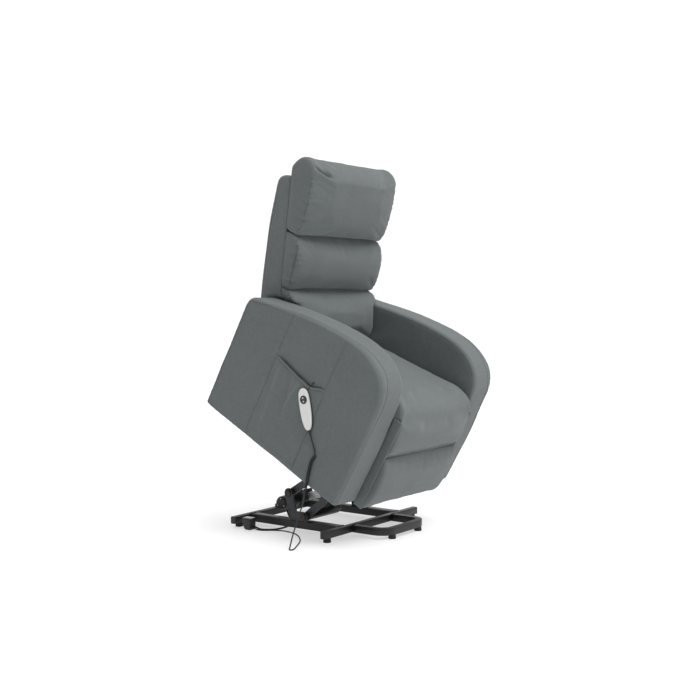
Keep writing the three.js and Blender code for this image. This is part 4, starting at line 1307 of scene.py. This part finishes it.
def weld_beads():
    """Beads where the base's tubes and the riser plates meet."""
    _, high_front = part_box("front_cross_tube")
    top = high_front.z
    parts = []
    for label, _ in SIDES:
        low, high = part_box(f"rail_{label}")
        low_plate, high_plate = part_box(f"riser_{label}")
        runs = [((low.x, low.y, top), (high.x, low.y, top)), ((low.x, high.y, top), (high.x, high.y, top))]
        for x in (low.x, high.x):
            runs.append(((x, low.y, low.z + 0.002), (x, low.y, top)))
            runs.append(((x, high.y, low.z + 0.002), (x, high.y, top)))
        face = math.copysign(RISER_FACE, low_plate.x)
        runs.append(((face, low_plate.y + 0.006, top), (face, high_plate.y - 0.031, top)))
        parts += runs
    for _, sign in SIDES:
        _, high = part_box("front_loop")
        x = sign * (high.x - 0.012)
        parts.append(((x - 0.012, high.y, top), (x + 0.012, high.y, top)))
    beads = [bead(f"bead_{i}", a, b, seed=i) for i, (a, b) in enumerate(parts)]
    joined = merge("weld_beads", beads)
    stand_for(joined, "base", "frame_black")


def end_plug(name, centre, size, sign):
    """A plastic plug in a tube's open end: a thin cap with rounded corners."""
    wide, tall = size
    points = []
    for cx, cz, start in ((1, 1, 0), (-1, 1, 90), (-1, -1, 180), (1, -1, 270)):
        for step in range(5):
            angle = math.radians(start + 90 * step / 4)
            points.append((centre[1] + cx * (wide / 2 - PLUG_CORNER) + PLUG_CORNER * math.cos(angle),
                           centre[2] + cz * (tall / 2 - PLUG_CORNER) + PLUG_CORNER * math.sin(angle)))
    x0 = centre[0] - sign * PLUG_INSIDE
    x1 = centre[0] + sign * PLUG_PROUD
    return plate_piece(name, points, min(x0, x1), max(x0, x1), "plastic", 0.0009, 3)


def feet():
    """Rubber feet: a moulded cup with a groove and a wide sole."""
    for place in ("cross", "loop", "rear"):
        for label, _ in SIDES:
            name = f"foot_{place}_{label}"
            low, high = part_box(name)
            centre = ((low.x + high.x) / 2, (low.y + high.y) / 2, low.z)
            height = high.z - low.z
            profile = [(0.0125, 0.0), (0.0142, 0.0008), (0.0149, 0.0026), (0.0149, 0.0052), (0.0140, 0.0060),
                       (0.0138, 0.0072), (0.0141, 0.0080), (0.0136, height - 0.001), (0.0128, height)]
            made = lathe(f"rubber_{name}", profile, centre, (0, 0, 1), "rubber")
            stand_for(made, "base", "rubber", name)


def hexagon(radius):
    return [(radius * math.cos(math.pi * k / 3), radius * math.sin(math.pi * k / 3)) for k in range(6)]


def hex_head(name, centre, direction, radius, height, finish):
    """A hexagon bolt head on a washer, pointing along +X or -X."""
    x0, x1 = sorted((centre[0], centre[0] + direction * height))
    points = [(centre[1] + a, centre[2] + b) for a, b in hexagon(radius)]
    head = plate_piece(name, points, x0, x1, finish, 0.0008, 2)
    washer = lathe(f"{name}_washer", [(0.3 * radius, 0.0), (1.45 * radius, 0.0), (1.45 * radius, 0.0016),
                                      (0.3 * radius, 0.0016)], centre, (direction, 0, 0), finish, 36)
    return merge(name, [head, washer])


def link_ends(node_name):
    """(y, z) of a lifting link's lower pivot and of its upper pin, from its box."""
    low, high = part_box(node_name)
    return (high.y - LINK_RADIUS, low.z + LINK_RADIUS), (low.y + LINK_RADIUS, high.z - LINK_RADIUS)


def pivots():
    """Bronze caps over the riser's pivots, and a bolt through each link's upper end."""
    for label, sign in SIDES:
        for place in ("rear", "front"):
            pivot, pin = link_ends(f"{place}_link_{label}")
            cap = lathe(f"pivot_cap_{place}_{label}",
                        [(0.0138, -0.0014), (0.0141, 0.0), (0.0141, 0.0042), (0.0131, 0.0064),
                         (0.0104, 0.0074), (0.0075, 0.0076), (0.0070, 0.0066), (0.0030, 0.0066)],
                        (sign * CAP_RIM, *pivot), (sign, 0, 0), "bronze")
            stand_for(cap, "base", "linkage_grey")
            bolt = hex_head(f"link_bolt_{place}_{label}", (sign * PIN_BOSS_END, *pin), sign,
                            0.0085, 0.0050, "zinc")
            stand_for(bolt, f"{place}_links", "zinc")


def base_and_mechanism():
    edges = {"rail_right": 0.003, "rail_left": 0.003, "front_cross_tube": 0.0025, "front_loop": 0.004,
             "rear_cross_bar": 0.0016}
    for name, edge in edges.items():
        finish_node(name, "black", edge)
    for label, sign in SIDES:
        finish_node(f"riser_{label}", "grey", 0.0008, 2)
        finish_node(f"hanger_{label}", "grey", 0.0008, 2)
        finish_node(f"seat_box_side_{label}", "wood", 0.0008, 2)
        finish_node(f"back_stile_{label}", "wood", 0.0008, 2)
        finish_node(f"scissor_long_{label}", "zinc", 0.0006, 2)
        finish_node(f"scissor_short_{label}", "zinc", 0.0006, 2)
        finish_node(f"rear_link_{label}", "grey", 0.0010, 2)
        finish_node(f"front_link_{label}", "grey", 0.0010, 2)
        for node_name in ("front_cross_tube", "rear_cross_bar"):
            low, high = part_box(node_name)
            end = high.x if sign > 0 else low.x
            middle = (low.y + high.y) / 2 if node_name == "front_cross_tube" else REAR_BAR_Y
            plug = end_plug(f"plug_{node_name}_{label}", (end, middle, TUBE_Z), TUBE_END, sign)
            stand_for(plug, "base", "black_plastic")
    for name in ("lift_tube_front", "lift_tube_rear"):
        finish_node(name, "black", 0.002)
    finish_node("drive_tube", "black", 0.0012, 2)
    for name in ("seat_deck", "back_rail_bottom", "back_rail_top", "footrest_board"):
        finish_node(name, "wood", 0.0008, 2)
    finish_node("actuator_gearbox", "plastic", 0.004, 4)
    finish_node("actuator_motor", "plastic", 0.0016, 3)
    finish_node("actuator_rail", "zinc", 0.002)
    finish_node("actuator_rod", "zinc", 0.0005, 2)
    finish_node("junction_box", "plastic", 0.003, 4)
    finish_node("junction_box_cover", "gloss", 0.0014, 3)
    weld_beads()
    feet()
    pivots()
    motor_details()


def motor_details():
    """Cooling ribs round the motor can and the screws of its end cap."""
    low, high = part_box("actuator_motor")
    centre_y, centre_z = (low.y + high.y) / 2, (low.z + high.z) / 2
    can = (high.z - low.z) / 2
    ribs = []
    for i in range(9):
        x = high.x - 0.012 - 0.0065 * i
        ribs.append(lathe(f"rib_{i}", [(can - 0.002, 0.0), (can + 0.0007, 0.0004), (can + 0.0007, 0.0020),
                                       (can - 0.002, 0.0024)],
                          (x, centre_y, centre_z), (-1, 0, 0), "plastic"))
    joined = merge("motor_ribs", ribs)
    stand_for(joined, "actuator", "black_plastic")
    screws = []
    for k in range(3):
        angle = math.radians(90 + 120 * k)
        spot = (low.x + 0.0032, centre_y + 0.0185 * math.cos(angle), centre_z + 0.0185 * math.sin(angle))
        head = [(0.0030, 0.0), (0.0030, 0.0016), (0.0022, 0.0024), (0.0008, 0.0024)]
        screws.append(lathe(f"screw_{k}", head, spot, (-1, 0, 0), "zinc", 20))
    joined = merge("motor_screws", screws)
    stand_for(joined, "actuator", "zinc")


# ---- Assembly ----------------------------------------------------------------------------

make_camera()
make_materials()
make_cords()
make_studio()
back_cushions()
seat_and_pads()
arms()
pocket()
outer_back()
handset()
base_and_mechanism()
